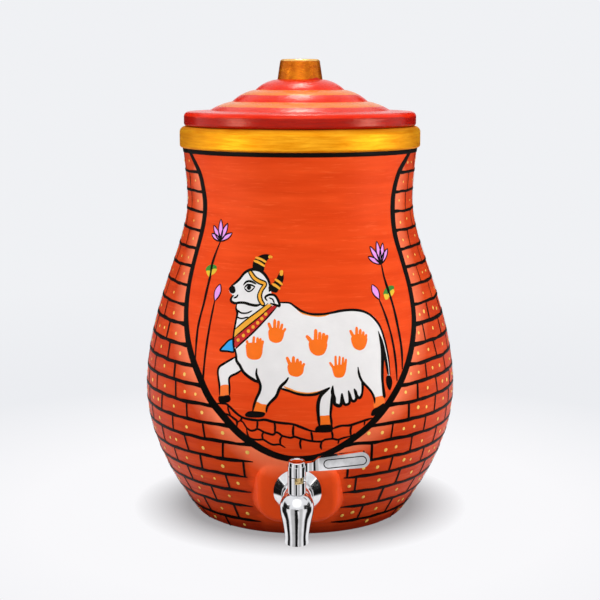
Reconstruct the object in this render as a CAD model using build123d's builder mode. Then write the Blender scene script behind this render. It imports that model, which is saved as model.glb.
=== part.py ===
"""Terracotta water jar: a thrown clay jar with a stepped lift-off lid and a quarter-turn tap.

Millimetres, +Z up. The origin is the centre of the jar's foot, on the surface that it stands on.
The tap faces -Y. Its own frame has the tap hole's centre on the pad's outer face as origin,
"out" along the shank, away from the jar, and "up" along the valve stem.
"""

import math
import os

from build123d import *

# Jar: each station's outer radius, its rise above the station below, and its slope, radius over height
foot_radius = 92.5
foot_slope = 0.72
belly_radius = 136.0
belly_rise = 110.0
shoulder_radius = 116.5
shoulder_rise = 95.0
shoulder_slope = -0.335
neck_radius = 98.0
neck_rise = 72.0
throat_radius = 101.4
throat_rise = 43.0
throat_slope = 0.1
jar_wall = 9.0
jar_floor = 12.0
foot_edge_radius = 4.0
floor_corner_radius = 14.0

# Rim band, which stands proud of the throat
rim_band_height = 18.0
rim_band_proud = 2.9
rim_top_edge_radius = 5.0
rim_low_edge_radius = 2.2
mouth_step = 2.4
mouth_edge_radius = 2.0

# Lid: each groove's radius and height are shares of the flange's radius and of the height to the knob
lid_gap = 0.3
lid_flange_inset = 3.8
lid_flange_height = 12.0
lid_flange_edge_radius = 4.5
lid_flange_low_edge_radius = 2.5
lid_rise = 39.5
lid_groove_shares = ((0.776, 0.337), (0.584, 0.524), (0.383, 0.775), (0.194, 1))
lid_bulge = 1.8
lid_bulge_shares = (0.55, 1, 1)
knob_top_radius = 16.9
knob_height = 17.2
knob_edge_radius = 2.6
lid_skirt_gap = 2.0
lid_skirt_wall = 9.0
lid_skirt_depth = 10.0
lid_wall = 9.5
lid_crown_wall = 13.5
lid_hollow_step = 2.5
lid_hollow_edge_radius = 3.0

# Tap pad: clay built up on the wall so that the tap has a flat seat
tap_height = 48.0
tap_tilt = 6.5
pad_proud = 5.3
pad_width = 64.0
pad_height = 52.0
pad_corner_radius = 18.0
pad_drop = 1.5
pad_draft = 20.0
pad_root = 22.0
pad_edge_radius = 6.0
pad_facing_margin = 1.5
seat_web = 10.0
seat_pocket_radius = 20.0
seat_pocket_depth = 26.0
tap_hole_clearance = 0.6

# Tap shank, and what clamps it to the wall
shank_radius = 8.0
thread_pitch = 1.5
thread_depth = 0.55
thread_count = 14
shank_tip_length = 2.5
bore_clearance = 0.2
gasket_thickness = 3.0
gasket_radius = 17.0
inner_gasket_thickness = 2.5
inner_gasket_radius = 15.5
clamp_washer_thickness = 1.5
clamp_washer_radius = 14.0
nut_across_flats = 24.0
nut_thickness = 6.0
nut_chamfer = 1.0
nut_clearance = 0.05
rosette_radius = 19.5
rosette_rim = 1.0
rosette_rim_gap = 0.4
rosette_front = 7.5
rosette_front_radius = 13.1
gasket_edge_gap = 0.3

# Tap body
stem_reach = 30.0
tap_hub_radius = 12.4
tap_hub_length = 2.5
tap_neck_radius = 10.2
tap_neck_length = 6.0
bulb_radius = 13.6
boss_radius = 6.4
boss_top = 14.0
inlet_radius = 4.0
spout_length = 28.0
spout_lean = 5.0
spout_drop_shares = (0, 0.16, 0.32, 0.5, 0.68, 0.86, 1)
spout_radius_shares = (1, 0.97, 0.89, 0.8, 0.73, 0.695, 0.705)
spout_lean_shares = (0, 0.07, 0.22, 0.45, 0.7, 0.9, 1)
bulb_rise_shares = (0.94, 0.8, 0.6, 0.4, 0.2)
spout_lip = 1.5
spout_throat_radius = 3.9
spout_throat_drop = 12.0
crotch_radius = 4.0

# Valve: a hollow plug that turns in the body, its seals, and the gland that keeps it in
valve_bore_radius = 5.2
valve_bore_bottom = 8.0
plug_clearance = 0.05
plug_bottom_gap = 0.2
plug_top = 6.0
plug_bore_radius = 3.0
plug_bore_top = 3.6
port_radius = 2.8
seal_groove_width = 1.5
seal_groove_radius = 3.9
seal_clearance = 0.03
upper_seal_level = 4.9
lower_seal_level = -5.6
seat_seal_radius = 4.6
seat_seal_length = 2.6
seat_seal_bore = 2.9
thrust_washer_thickness = 0.8
stack_gap = 0.1
gland_radius = 5.6
gland_bottom = 8.0
gland_head_radius = 5.2
gland_head_top = 26.0
stem_radius = 3.2
stem_clearance = 0.05
stem_flat = 2.3

# Stop sleeve round the gland, whose window holds the handle's stop lug
sleeve_radius = 7.2
sleeve_bottom = 12.4
sleeve_top = 26.4
sleeve_bore_radius = 5.5
sleeve_seat_gap = 0.1
window_bottom = 21.7
window_start = -102.0
window_sweep = 106.0
lug_start = -10.0
lug_sweep = 12.0
lug_gap = 0.3

# Handle
handle_gap = 0.5
cap_height = 11.9
cap_top_radius = 6.6
cap_edge_radius = 0.7
cap_recess_radius = 5.5
cap_recess_depth = 3.6
cover_gap = 0.05
cover_thickness = 1.3
cover_recess = 0.6
cover_dish = 0.5
socket_depth = 6.2
screw_head_radius = 2.7
screw_head_height = 1.5
screw_radius = 1.5
screw_length = 8.0
screw_clearance = 0.1
screw_key_width = 2.0
screw_key_depth = 0.9
blade_thickness = 4.2
blade_root_low = 29.7
blade_root_high = 37.5
blade_waist_reach = 10.5
blade_waist_high = 37.6
blade_start_reach = 18.6
blade_start_low = 31.2
blade_start_high = 42.1
blade_tip_reach = 50.4
blade_tip_low = 33.8
blade_tip_high = 47.2
blade_edge_radius = 0.9
scoop_radius = 11.0
scoop_depth = 1.0
scoop_reach = 13.0
panel_length = 34.0
panel_width = 7.6
panel_line_width = 0.6
panel_line_depth = 0.4

# One length by which every cut runs past what it cuts
overrun = 1.0

os.makedirs("parts", exist_ok=True)

belly_height = belly_rise
shoulder_height = belly_height + shoulder_rise
neck_height = shoulder_height + neck_rise
throat_height = neck_height + throat_rise
rim_height = throat_height + rim_band_height
rim_radius = throat_radius + rim_band_proud
mouth_radius = throat_radius - jar_wall - mouth_step
outer_stations = (
    (foot_radius, 0, foot_slope),
    (belly_radius, belly_height, 0),
    (shoulder_radius, shoulder_height, shoulder_slope),
    (neck_radius, neck_height, 0),
    (throat_radius, throat_height, throat_slope),
)


def wall_radius(height):
    """The jar's outer radius at a height: each span is a cubic whose height grows evenly."""
    for (r0, z0, slope0), (r1, z1, slope1) in zip(outer_stations, outer_stations[1:]):
        if z0 <= height <= z1:
            share = (height - z0) / (z1 - z0)
            rest = 1 - share
            handle = (z1 - z0) / 3
            near = rest**3 * r0 + 3 * rest**2 * share * (r0 + slope0 * handle)
            return near + 3 * rest * share**2 * (r1 - slope1 * handle) + share**3 * r1
    return throat_radius


pad_reach = wall_radius(tap_height) + pad_proud
tilt = math.radians(tap_tilt)
out_dir = Vector(0, -math.cos(tilt), -math.sin(tilt))
up_dir = Vector(0, -math.sin(tilt), math.cos(tilt))
side_dir = Vector(1, 0, 0)
tap_origin = Vector(0, -pad_reach, tap_height)
stem_centre = tap_origin + out_dir * stem_reach
stem_axis = Axis(stem_centre, up_dir)
shank_axis = Axis(tap_origin, out_dir)


def on_shank(reach):
    """Plane square to the shank, that far out from the pad, with its Y along the stem."""
    return Plane(origin=tap_origin + out_dir * reach, x_dir=side_dir, z_dir=out_dir)


def on_stem(level, lean=0):
    """Plane square to the stem, that far above the shank's axis, with its -Y away from the jar."""
    return Plane(origin=stem_centre + up_dir * level + out_dir * lean, x_dir=side_dir, z_dir=up_dir)


# Half sections: X is the radius and Y the level for the stem; X runs out and Y is the radius for the shank
stem_section = Plane(origin=stem_centre, x_dir=side_dir, z_dir=out_dir)
shank_section = Plane(origin=tap_origin, x_dir=out_dir, z_dir=up_dir)


def wall_curves(stations):
    """One smooth curve from station to station, each a radius, a height and a slope."""
    for (r0, z0, slope0), (r1, z1, slope1) in zip(stations, stations[1:]):
        handle = (z1 - z0) / 3
        Bezier((r0, z0), (r0 + slope0 * handle, z0 + handle), (r1 - slope1 * handle, z1 - handle), (r1, z1))


def round_corner(outline, radius, height, rounding):
    """Rounds the one corner of an outline that stands at this radius and height."""
    corner = outline.vertices().filter_by_position(Axis.X, radius, radius)
    fillet(corner.filter_by_position(Axis.Y, height, height), radius=rounding)


def sector(radius, start, sweep):
    """A slice of a disc from the start angle on."""
    with BuildSketch() as disc_slice:
        with BuildLine():
            rim = CenterArc((0, 0), radius, start, sweep)
            Line((0, 0), rim @ 0)
            Line(rim @ 1, (0, 0))
        make_face()
    return disc_slice.sketch


def flat_ring(plane, outer, inner, thickness):
    """A washer or a gasket that lies on the plane."""
    with BuildPart() as washer:
        with BuildSketch(plane):
            Circle(outer)
            Circle(inner, mode=Mode.SUBTRACT)
        extrude(amount=thickness)
    return washer


def save(piece, name):
    """Names a finished piece and writes it to its own file."""
    piece.part.label = name
    export_step(piece.part, f"parts/{name}.step")


# Jar

inner_stations = (
    (foot_radius + foot_slope * jar_floor - jar_wall, jar_floor, foot_slope),
    (belly_radius - jar_wall, belly_height, 0),
    (shoulder_radius - jar_wall, shoulder_height, shoulder_slope),
    (neck_radius - jar_wall, neck_height, 0),
    (mouth_radius, rim_height, 0),
)

with BuildPart() as jar_body:
    with BuildSketch(on_shank(0)):
        with Locations((0, -pad_drop)):
            RectangleRounded(pad_width, pad_height, pad_corner_radius)
    extrude(amount=-pad_root, taper=-pad_draft)
    fillet(jar_body.faces().sort_by(Axis.Y)[0].edges(), radius=pad_edge_radius)
    with BuildSketch(Plane.XZ) as jar_outline:
        with BuildLine():
            Line((0, 0), (foot_radius, 0))
            wall_curves(outer_stations)
            Polyline(
                (throat_radius, throat_height),
                (rim_radius, throat_height),
                (rim_radius, rim_height),
                (0, rim_height),
                (0, 0),
            )
        make_face()
        round_corner(jar_outline, foot_radius, 0, foot_edge_radius)
        round_corner(jar_outline, rim_radius, throat_height, rim_low_edge_radius)
        round_corner(jar_outline, rim_radius, rim_height, rim_top_edge_radius)
    revolve(axis=Axis.Z)
    with BuildSketch(Plane.XZ) as cavity_outline:
        with BuildLine():
            Line((0, jar_floor), (inner_stations[0][0], jar_floor))
            wall_curves(inner_stations)
            Polyline(
                (mouth_radius, rim_height),
                (mouth_radius, rim_height + overrun),
                (0, rim_height + overrun),
                (0, jar_floor),
            )
        make_face()
        round_corner(cavity_outline, inner_stations[0][0], jar_floor, floor_corner_radius)
    revolve(axis=Axis.Z, mode=Mode.SUBTRACT)
    with BuildSketch(on_shank(0)):
        Circle(rosette_radius + pad_facing_margin)
    extrude(amount=pad_root, mode=Mode.SUBTRACT)
    with BuildSketch(on_shank(-seat_web)):
        Circle(seat_pocket_radius)
    extrude(amount=-seat_pocket_depth, mode=Mode.SUBTRACT)
    with BuildSketch(on_shank(overrun)):
        Circle(shank_radius + tap_hole_clearance)
    extrude(amount=-seat_web - overrun - overrun, mode=Mode.SUBTRACT)
    mouth_edge = jar_body.faces().filter_by(Axis.Z).sort_by(Axis.Z)[-1].edges().sort_by(SortBy.RADIUS)[0]
    fillet(mouth_edge, radius=mouth_edge_radius)
save(jar_body, "jar_body")

# Lid

lid_base = rim_height + lid_gap
lid_top = lid_base + lid_rise + knob_height
lid_flange_radius = rim_radius - lid_flange_inset
lid_skirt_radius = mouth_radius - lid_skirt_gap
lid_hollow_radius = lid_skirt_radius - lid_skirt_wall
lid_hollow_low = lid_base - lid_skirt_depth - overrun
lid_hollow_top = lid_base + lid_rise - lid_crown_wall

with BuildPart() as lid:
    with BuildSketch(Plane.XZ) as lid_outline:
        with BuildLine():
            grooves = [
                (lid_flange_radius * radius_share, lid_base + lid_rise * height_share)
                for radius_share, height_share in lid_groove_shares
            ]
            Polyline(
                (0, lid_base),
                (lid_flange_radius, lid_base),
                (lid_flange_radius, lid_base + lid_flange_height),
                grooves[0],
            )
            for groove, next_groove, bulge_share in zip(grooves, grooves[1:], lid_bulge_shares):
                SagittaArc(groove, next_groove, -lid_bulge * bulge_share)
            Polyline(grooves[-1], (knob_top_radius, lid_top), (0, lid_top), (0, lid_base))
        make_face()
        round_corner(lid_outline, lid_flange_radius, lid_base, lid_flange_low_edge_radius)
        round_corner(lid_outline, lid_flange_radius, lid_base + lid_flange_height, lid_flange_edge_radius)
        round_corner(lid_outline, knob_top_radius, lid_top, knob_edge_radius)
    revolve(axis=Axis.Z)
    with BuildSketch(Plane.XY.offset(lid_base)):
        Circle(lid_skirt_radius)
    extrude(amount=-lid_skirt_depth)
    with BuildSketch(Plane.XZ) as hollow_outline:
        with BuildLine():
            roof_low = (lid_hollow_radius, lid_base + lid_flange_height - lid_wall)
            roof_high = (grooves[-1][0] + lid_hollow_step, lid_hollow_top)
            Polyline(
                (0, lid_hollow_low),
                (lid_hollow_radius, lid_hollow_low),
                roof_low,
                roof_high,
                (0, lid_hollow_top),
                (0, lid_hollow_low),
            )
        make_face()
        for roof_corner in (roof_low, roof_high):
            round_corner(hollow_outline, *roof_corner, lid_hollow_edge_radius)
    revolve(axis=Axis.Z, mode=Mode.SUBTRACT)
save(lid, "lid")

# Clamping parts on the shank

with BuildPart() as wall_rosette:
    with BuildSketch(shank_section) as rosette_outline:
        with BuildLine():
            Polyline(
                (rosette_rim_gap, gasket_radius + gasket_edge_gap),
                (rosette_rim_gap, rosette_radius),
                (rosette_rim_gap + rosette_rim, rosette_radius),
                (rosette_front, rosette_front_radius),
                (rosette_front, shank_radius + bore_clearance),
                (gasket_thickness, shank_radius + bore_clearance),
                (gasket_thickness, gasket_radius + gasket_edge_gap),
                (rosette_rim_gap, gasket_radius + gasket_edge_gap),
            )
        make_face()
    revolve(axis=shank_axis)
save(wall_rosette, "wall_rosette")

shank_bore_radius = shank_radius + bore_clearance
outer_gasket = flat_ring(on_shank(0), gasket_radius, shank_bore_radius, gasket_thickness)
save(outer_gasket, "outer_gasket")

inner_gasket_plane = on_shank(-seat_web)
inner_gasket = flat_ring(inner_gasket_plane, inner_gasket_radius, shank_bore_radius, -inner_gasket_thickness)
save(inner_gasket, "inner_gasket")

clamp_washer_reach = -seat_web - inner_gasket_thickness
clamp_washer_plane = on_shank(clamp_washer_reach)
clamp_washer = flat_ring(clamp_washer_plane, clamp_washer_radius, shank_bore_radius, -clamp_washer_thickness)
save(clamp_washer, "clamp_washer")

nut_reach = clamp_washer_reach - clamp_washer_thickness
with BuildPart() as back_nut:
    with BuildSketch(on_shank(nut_reach)):
        RegularPolygon(nut_across_flats / 2, 6, major_radius=False)
    extrude(amount=-nut_thickness)
    with BuildSketch(on_shank(nut_reach)):
        Circle(nut_across_flats / 2 + nut_chamfer)
    extrude(amount=-nut_thickness, mode=Mode.INTERSECT)
    with BuildSketch(on_shank(nut_reach)):
        Circle(shank_radius + nut_clearance)
    extrude(amount=-nut_thickness, mode=Mode.SUBTRACT)
save(back_nut, "back_nut")

# Tap body

shank_tip = nut_reach - nut_thickness - shank_tip_length
plug_radius = valve_bore_radius - plug_clearance

with BuildPart() as tap_body:
    with BuildSketch(shank_section):
        with BuildLine():
            thread = [(shank_tip, 0), (shank_tip, shank_radius - thread_depth)]
            for turn in range(thread_count):
                start = shank_tip + thread_pitch * turn
                thread += [
                    (start + thread_pitch / 2, shank_radius),
                    (start + thread_pitch, shank_radius - thread_depth),
                ]
            thread_end = shank_tip + thread_pitch * (thread_count + 1 / 2)
            Polyline(
                *thread,
                (thread_end, shank_radius),
                (rosette_front, shank_radius),
                (rosette_front, tap_hub_radius),
                (rosette_front + tap_hub_length, tap_hub_radius),
            )
            neck_reach = rosette_front + tap_hub_length + tap_neck_length
            Spline(
                (rosette_front + tap_hub_length, tap_hub_radius),
                (neck_reach, tap_neck_radius),
                tangents=((1, -1), (1, 0)),
            )
            Polyline((neck_reach, tap_neck_radius), (stem_reach, tap_neck_radius), (stem_reach, 0), (shank_tip, 0))
        make_face()
    revolve(axis=shank_axis)
    for rise_share in bulb_rise_shares:
        with BuildSketch(on_stem(bulb_radius * rise_share)):
            Circle(bulb_radius * math.sqrt(1 - rise_share**2))
    for drop_share, radius_share, lean_share in zip(
        spout_drop_shares, spout_radius_shares, spout_lean_shares
    ):
        with BuildSketch(on_stem(-spout_length * drop_share, spout_lean * lean_share)):
            Circle(bulb_radius * radius_share)
    loft()
    with BuildSketch(on_stem(0)):
        Circle(boss_radius)
    extrude(amount=boss_top)
    with BuildSketch(on_shank(shank_tip - overrun)):
        Circle(inlet_radius)
    extrude(amount=stem_reach - shank_tip + overrun, mode=Mode.SUBTRACT)
    with BuildSketch(on_shank(stem_reach - plug_radius - seat_seal_length)):
        Circle(seat_seal_radius)
    extrude(amount=seat_seal_length + plug_radius, mode=Mode.SUBTRACT)
    with BuildSketch(on_stem(-valve_bore_bottom)):
        Circle(valve_bore_radius)
    extrude(amount=valve_bore_bottom + boss_top + overrun, mode=Mode.SUBTRACT)
    with BuildSketch(on_stem(gland_bottom)):
        Circle(gland_radius)
    extrude(amount=boss_top, mode=Mode.SUBTRACT)
    with BuildSketch(on_stem(-valve_bore_bottom)):
        Circle(spout_throat_radius)
    extrude(amount=valve_bore_bottom - spout_throat_drop, mode=Mode.SUBTRACT)
    with BuildSketch(on_stem(-spout_throat_drop)):
        Circle(spout_throat_radius)
    with BuildSketch(on_stem(-spout_length, spout_lean)):
        Circle(bulb_radius * spout_radius_shares[-1] - spout_lip)
    loft(mode=Mode.SUBTRACT)
save(tap_body, "tap_body")

# Valve

with BuildPart() as valve_plug:
    with BuildSketch(stem_section):
        with BuildLine():
            upper_low = upper_seal_level - seal_groove_width / 2
            upper_high = upper_seal_level + seal_groove_width / 2
            lower_low = lower_seal_level - seal_groove_width / 2
            lower_high = lower_seal_level + seal_groove_width / 2
            stem_top = sleeve_top + handle_gap + socket_depth
            Polyline(
                (0, plug_bore_top),
                (plug_bore_radius, plug_bore_top),
                (plug_bore_radius, plug_bottom_gap - valve_bore_bottom),
                (plug_radius, plug_bottom_gap - valve_bore_bottom),
                (plug_radius, lower_low),
                (seal_groove_radius, lower_low),
                (seal_groove_radius, lower_high),
                (plug_radius, lower_high),
                (plug_radius, upper_low),
                (seal_groove_radius, upper_low),
                (seal_groove_radius, upper_high),
                (plug_radius, upper_high),
                (plug_radius, plug_top),
                (stem_radius, plug_top),
                (stem_radius, stem_top),
                (0, stem_top),
                (0, plug_bore_top),
            )
        make_face()
    revolve(axis=stem_axis)
    with BuildSketch(Plane(origin=stem_centre, x_dir=out_dir, z_dir=-side_dir)):
        Circle(port_radius)
    extrude(amount=plug_radius + overrun, mode=Mode.SUBTRACT)
    with BuildSketch(on_stem(sleeve_top)):
        for flat_side in (-1, 1):
            with Locations((0, flat_side * (stem_flat + stem_radius))):
                Rectangle(stem_radius * 2, stem_radius * 2)
    extrude(amount=handle_gap + socket_depth + overrun, mode=Mode.SUBTRACT)
    with BuildSketch(on_stem(stem_top)):
        Circle(screw_radius + screw_clearance)
    extrude(amount=-screw_length, mode=Mode.SUBTRACT)
save(valve_plug, "valve_plug")

seal_radius = (valve_bore_radius - seal_groove_radius) / 2 - seal_clearance
seal_ring_radius = (valve_bore_radius + seal_groove_radius) / 2
for seal_name, seal_level in (("plug_seal_upper", upper_seal_level), ("plug_seal_lower", lower_seal_level)):
    with BuildPart() as plug_seal:
        with BuildSketch(stem_section):
            with Locations((seal_ring_radius, seal_level)):
                Circle(seal_radius)
        revolve(axis=stem_axis)
    save(plug_seal, seal_name)

with BuildPart() as inlet_seat_seal:
    with BuildSketch(on_shank(stem_reach - plug_radius - seat_seal_length)):
        Circle(seat_seal_radius - plug_clearance)
        Circle(seat_seal_bore, mode=Mode.SUBTRACT)
    extrude(amount=seat_seal_length + plug_radius)
    with BuildSketch(on_stem(-seat_seal_radius)):
        Circle(valve_bore_radius)
    extrude(amount=seat_seal_radius * 2, mode=Mode.SUBTRACT)
    with BuildSketch(on_shank(stem_reach)):
        Circle(seat_seal_radius)
    extrude(amount=plug_radius, mode=Mode.SUBTRACT)
save(inlet_seat_seal, "inlet_seat_seal")

thrust_washer = flat_ring(
    on_stem(plug_top + stack_gap),
    plug_radius - stack_gap,
    stem_radius + bore_clearance,
    thrust_washer_thickness,
)
save(thrust_washer, "thrust_washer")

with BuildPart() as gland_bush:
    gland_low = plug_top + thrust_washer_thickness + stack_gap * 2
    with BuildSketch(stem_section):
        with BuildLine():
            Polyline(
                (stem_radius + stem_clearance, gland_low),
                (valve_bore_radius - stack_gap, gland_low),
                (valve_bore_radius - stack_gap, gland_bottom),
                (gland_radius - nut_clearance, gland_bottom),
                (gland_radius - nut_clearance, boss_top),
                (gland_head_radius, boss_top),
                (gland_head_radius, gland_head_top),
                (stem_radius + stem_clearance, gland_head_top),
                (stem_radius + stem_clearance, gland_low),
            )
        make_face()
    revolve(axis=stem_axis)
save(gland_bush, "gland_bush")

with BuildPart() as stop_sleeve:
    with BuildSketch(on_stem(sleeve_bottom)):
        Circle(sleeve_radius)
        Circle(sleeve_bore_radius, mode=Mode.SUBTRACT)
    extrude(amount=sleeve_top - sleeve_bottom)
    with BuildSketch(on_stem(sleeve_bottom)):
        Circle(boss_radius + nut_clearance)
    extrude(amount=boss_top + sleeve_seat_gap - sleeve_bottom, mode=Mode.SUBTRACT)
    with BuildSketch(on_stem(window_bottom)):
        add(sector(sleeve_radius + overrun, window_start, window_sweep))
    extrude(amount=sleeve_top - window_bottom + overrun, mode=Mode.SUBTRACT)
save(stop_sleeve, "stop_sleeve")

# Handle

cap_low = sleeve_top + handle_gap
cap_top = cap_low + cap_height
recess_floor = cap_top - cap_recess_depth
half_blade = blade_thickness / 2

with BuildPart() as lever_handle:
    with BuildSketch(stem_section):
        with BuildLine():
            Polyline(
                (0, cap_low),
                (sleeve_radius, cap_low),
                (cap_top_radius, cap_top),
                (0, cap_top),
                (0, cap_low),
            )
        make_face()
    revolve(axis=stem_axis)
    fillet(
        lever_handle.edges().filter_by(GeomType.CIRCLE).sort_by(stem_axis)[-1:],
        radius=cap_edge_radius,
    )
    with BuildSketch(on_shank(stem_reach)) as blade_outline:
        with BuildLine():
            Line((0, blade_root_low), (blade_start_reach, blade_start_low))
            Line((blade_start_reach, blade_start_low), (blade_tip_reach, blade_tip_low))
            tip_half_width = (blade_tip_high - blade_tip_low) / 2
            ThreePointArc(
                (blade_tip_reach, blade_tip_low),
                (blade_tip_reach + tip_half_width, blade_tip_low + tip_half_width),
                (blade_tip_reach, blade_tip_high),
            )
            blade_top = Line((blade_tip_reach, blade_tip_high), (blade_start_reach, blade_start_high))
            Spline(
                (blade_start_reach, blade_start_high),
                (blade_waist_reach, blade_waist_high),
                tangents=(blade_top % 1, (-1, 0)),
            )
            Polyline((blade_waist_reach, blade_waist_high), (0, blade_root_high), (0, blade_root_low))
        make_face()
    extrude(amount=half_blade, both=True)
    with BuildSketch(on_stem(blade_root_low - overrun)):
        with Locations((scoop_reach, -half_blade - scoop_radius + scoop_depth)):
            Circle(scoop_radius)
    extrude(amount=blade_start_high - blade_root_low + overrun * 2, mode=Mode.SUBTRACT)
    with BuildSketch(on_stem(cap_low)):
        Circle(sleeve_radius)
    extrude(amount=recess_floor - cap_low)
    with BuildSketch(on_stem(recess_floor)):
        Circle(cap_recess_radius)
    extrude(amount=cap_recess_depth + overrun, mode=Mode.SUBTRACT)
    with BuildSketch(on_stem(cap_low - overrun)):
        Circle(stem_radius + stem_clearance)
        for flat_side in (-1, 1):
            with Locations((0, flat_side * (stem_flat + stem_clearance + stem_radius))):
                Rectangle(stem_radius * 3, stem_radius * 2, mode=Mode.SUBTRACT)
    extrude(amount=socket_depth + screw_clearance + overrun, mode=Mode.SUBTRACT)
    with BuildSketch(on_stem(recess_floor)):
        Circle(screw_radius + screw_clearance)
    extrude(amount=cap_low - recess_floor, mode=Mode.SUBTRACT)
    with BuildSketch(on_stem(window_bottom + lug_gap)):
        add(sector(sleeve_radius, lug_start, lug_sweep))
        Circle(sleeve_bore_radius, mode=Mode.SUBTRACT)
    extrude(amount=cap_low - window_bottom - lug_gap)
    blade_angle = math.degrees(
        math.atan2(
            blade_tip_low + blade_tip_high - blade_start_low - blade_start_high,
            (blade_tip_reach - blade_start_reach) * 2,
        )
    )
    blade_middle = (
        (blade_start_reach + blade_tip_reach + tip_half_width) / 2,
        (blade_start_low + blade_start_high + blade_tip_low + blade_tip_high) / 4,
    )
    with BuildSketch(on_shank(stem_reach + half_blade)):
        with Locations(blade_middle):
            SlotOverall(panel_length, panel_width, rotation=blade_angle)
            SlotOverall(
                panel_length - panel_line_width * 2,
                panel_width - panel_line_width * 2,
                rotation=blade_angle,
                mode=Mode.SUBTRACT,
            )
    extrude(amount=-panel_line_depth, mode=Mode.SUBTRACT)
save(lever_handle, "lever_handle")

with BuildPart() as handle_screw:
    with BuildSketch(on_stem(recess_floor)):
        Circle(screw_head_radius)
    extrude(amount=screw_head_height)
    with BuildSketch(on_stem(recess_floor)):
        Circle(screw_radius)
    extrude(amount=-screw_length)
    with BuildSketch(on_stem(recess_floor + screw_head_height)):
        RegularPolygon(screw_key_width / 2, 6, major_radius=False)
    extrude(amount=-screw_key_depth, mode=Mode.SUBTRACT)
save(handle_screw, "handle_screw")

with BuildPart() as cap_cover:
    with BuildSketch(stem_section):
        with BuildLine():
            cover_top = cap_top - cover_recess
            cover_radius = cap_recess_radius - cover_gap
            Polyline(
                (0, cover_top - cover_dish),
                (0, cover_top - cover_thickness),
                (cover_radius, cover_top - cover_thickness),
                (cover_radius, cover_top),
            )
            TangentArc((0, cover_top - cover_dish), (cover_radius, cover_top), tangent=(1, 0))
        make_face()
    revolve(axis=stem_axis)
save(cap_cover, "cap_cover")
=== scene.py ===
"""The looks of a painted clay water jar with a stepped lid and a lever tap, built round its solids.

Metres, in the solids' own frame: the origin is the foot's centre, +Z is up and the tap faces -Y.
Paint is laid on the wall as thin raised coats. A place on the wall is an angle round the jar, from the
tap's side towards +X, and a height.
"""

import math
import random

import bpy
from mathutils import Matrix, Vector, geometry, noise
from mathutils.bvhtree import BVHTree


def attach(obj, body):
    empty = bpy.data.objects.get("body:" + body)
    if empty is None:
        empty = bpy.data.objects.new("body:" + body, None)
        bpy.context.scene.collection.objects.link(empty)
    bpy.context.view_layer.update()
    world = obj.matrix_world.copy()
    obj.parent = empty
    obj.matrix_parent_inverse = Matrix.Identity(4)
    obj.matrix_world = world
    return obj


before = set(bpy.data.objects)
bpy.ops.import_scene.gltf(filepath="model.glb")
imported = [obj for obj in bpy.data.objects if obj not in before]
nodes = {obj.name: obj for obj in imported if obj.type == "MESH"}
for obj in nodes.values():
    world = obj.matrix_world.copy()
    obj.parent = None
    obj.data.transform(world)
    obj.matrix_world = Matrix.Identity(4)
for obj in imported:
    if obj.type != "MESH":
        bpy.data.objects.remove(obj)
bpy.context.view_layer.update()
hand = random.Random(11)

MM = 0.001
JAR = "jar"
HANDLE = "handle"


# Node materials

class Tree:
    """The nodes of a material or of the world, with short ways to add the kinds used here."""

    def __init__(self, owner):
        owner.use_nodes = True
        self.owner = owner
        self.nodes = owner.node_tree.nodes
        self.links = owner.node_tree.links

    def add(self, kind, inputs=None, **settings):
        """Adds a node, sets it up and joins or fills its inputs."""
        made = self.nodes.new("ShaderNode" + kind)
        for key, value in settings.items():
            setattr(made, key, value)
        for key, value in (inputs or {}).items():
            if isinstance(value, bpy.types.NodeSocket):
                self.links.new(value, made.inputs[key])
            else:
                made.inputs[key].default_value = value
        return made

    def math(self, operation, *values):
        """One Math node's result."""
        return self.add("Math", dict(enumerate(values)), operation=operation).outputs[0]

    def times(self, *values):
        """The product of two values."""
        return self.math("MULTIPLY", *values)

    def most(self, *values):
        """The larger of two values."""
        return self.math("MAXIMUM", *values)

    def vector(self, operation, *values):
        """One Vector Math node's results."""
        return self.add("VectorMath", dict(enumerate(values)), operation=operation).outputs

    def length(self, vector):
        """A vector's length."""
        return self.vector("LENGTH", vector)["Value"]

    def axes(self, vector):
        """A vector's coordinates by their names."""
        return self.add("SeparateXYZ", {"Vector": vector}).outputs

    def mix(self, share, first, second):
        """Two colours mixed by a share."""
        first, second = (c if isinstance(c, bpy.types.NodeSocket) else (*c, 1) for c in (first, second))
        return self.add("Mix", {0: share, 6: first, 7: second}, data_type="RGBA").outputs[2]

    def spread(self, value, low, high, to_low=0.0, to_high=1.0, slope="LINEAR"):
        """A value's range stretched to another, and held within it."""
        inputs = {"Value": value, "From Min": low, "From Max": high, "To Min": to_low, "To Max": to_high}
        return self.add("MapRange", inputs, interpolation_type=slope).outputs["Result"]

    def ease(self, value, low, high):
        """0 at one value, 1 at another, and an easy slope between."""
        return self.spread(value, low, high, slope="SMOOTHSTEP")

    def within(self, value, low, rise, fall, high):
        """1 between two values, with an easy slope down to 0 on both sides."""
        return self.times(self.ease(value, low, rise), self.ease(value, high, fall))

    def cloud(self, vector, scale, detail=3.0, roughness=0.55):
        """Noise between 0 and 1."""
        inputs = {"Vector": vector, "Scale": scale, "Detail": detail, "Roughness": roughness}
        return self.add("TexNoise", inputs).outputs["Fac"]

    def drive(self, name, value):
        """Lets a value drive one of the shader's inputs."""
        self.links.new(value, self.shader.inputs[name])

    def bump(self, height, depth):
        """Raises the surface by a height field, so many metres deep."""
        self.drive("Normal", self.add("Bump", {"Height": height, "Distance": depth}).outputs["Normal"])

    def blend_shaders(self, share, first, second):
        """Two shaders mixed by a share."""
        return self.add("MixShader", {0: share, 1: first.outputs[0], 2: second.outputs[0]}).outputs[0]

    def show(self, result):
        """Puts a shader's result on the surface."""
        self.links.new(result, self.nodes["Material Output"].inputs["Surface"])


def new_tree(name):
    """A new material's nodes, with the object's coordinates."""
    tree = Tree(bpy.data.materials.new(name))
    tree.place = tree.add("TexCoord").outputs["Object"]
    return tree


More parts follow.
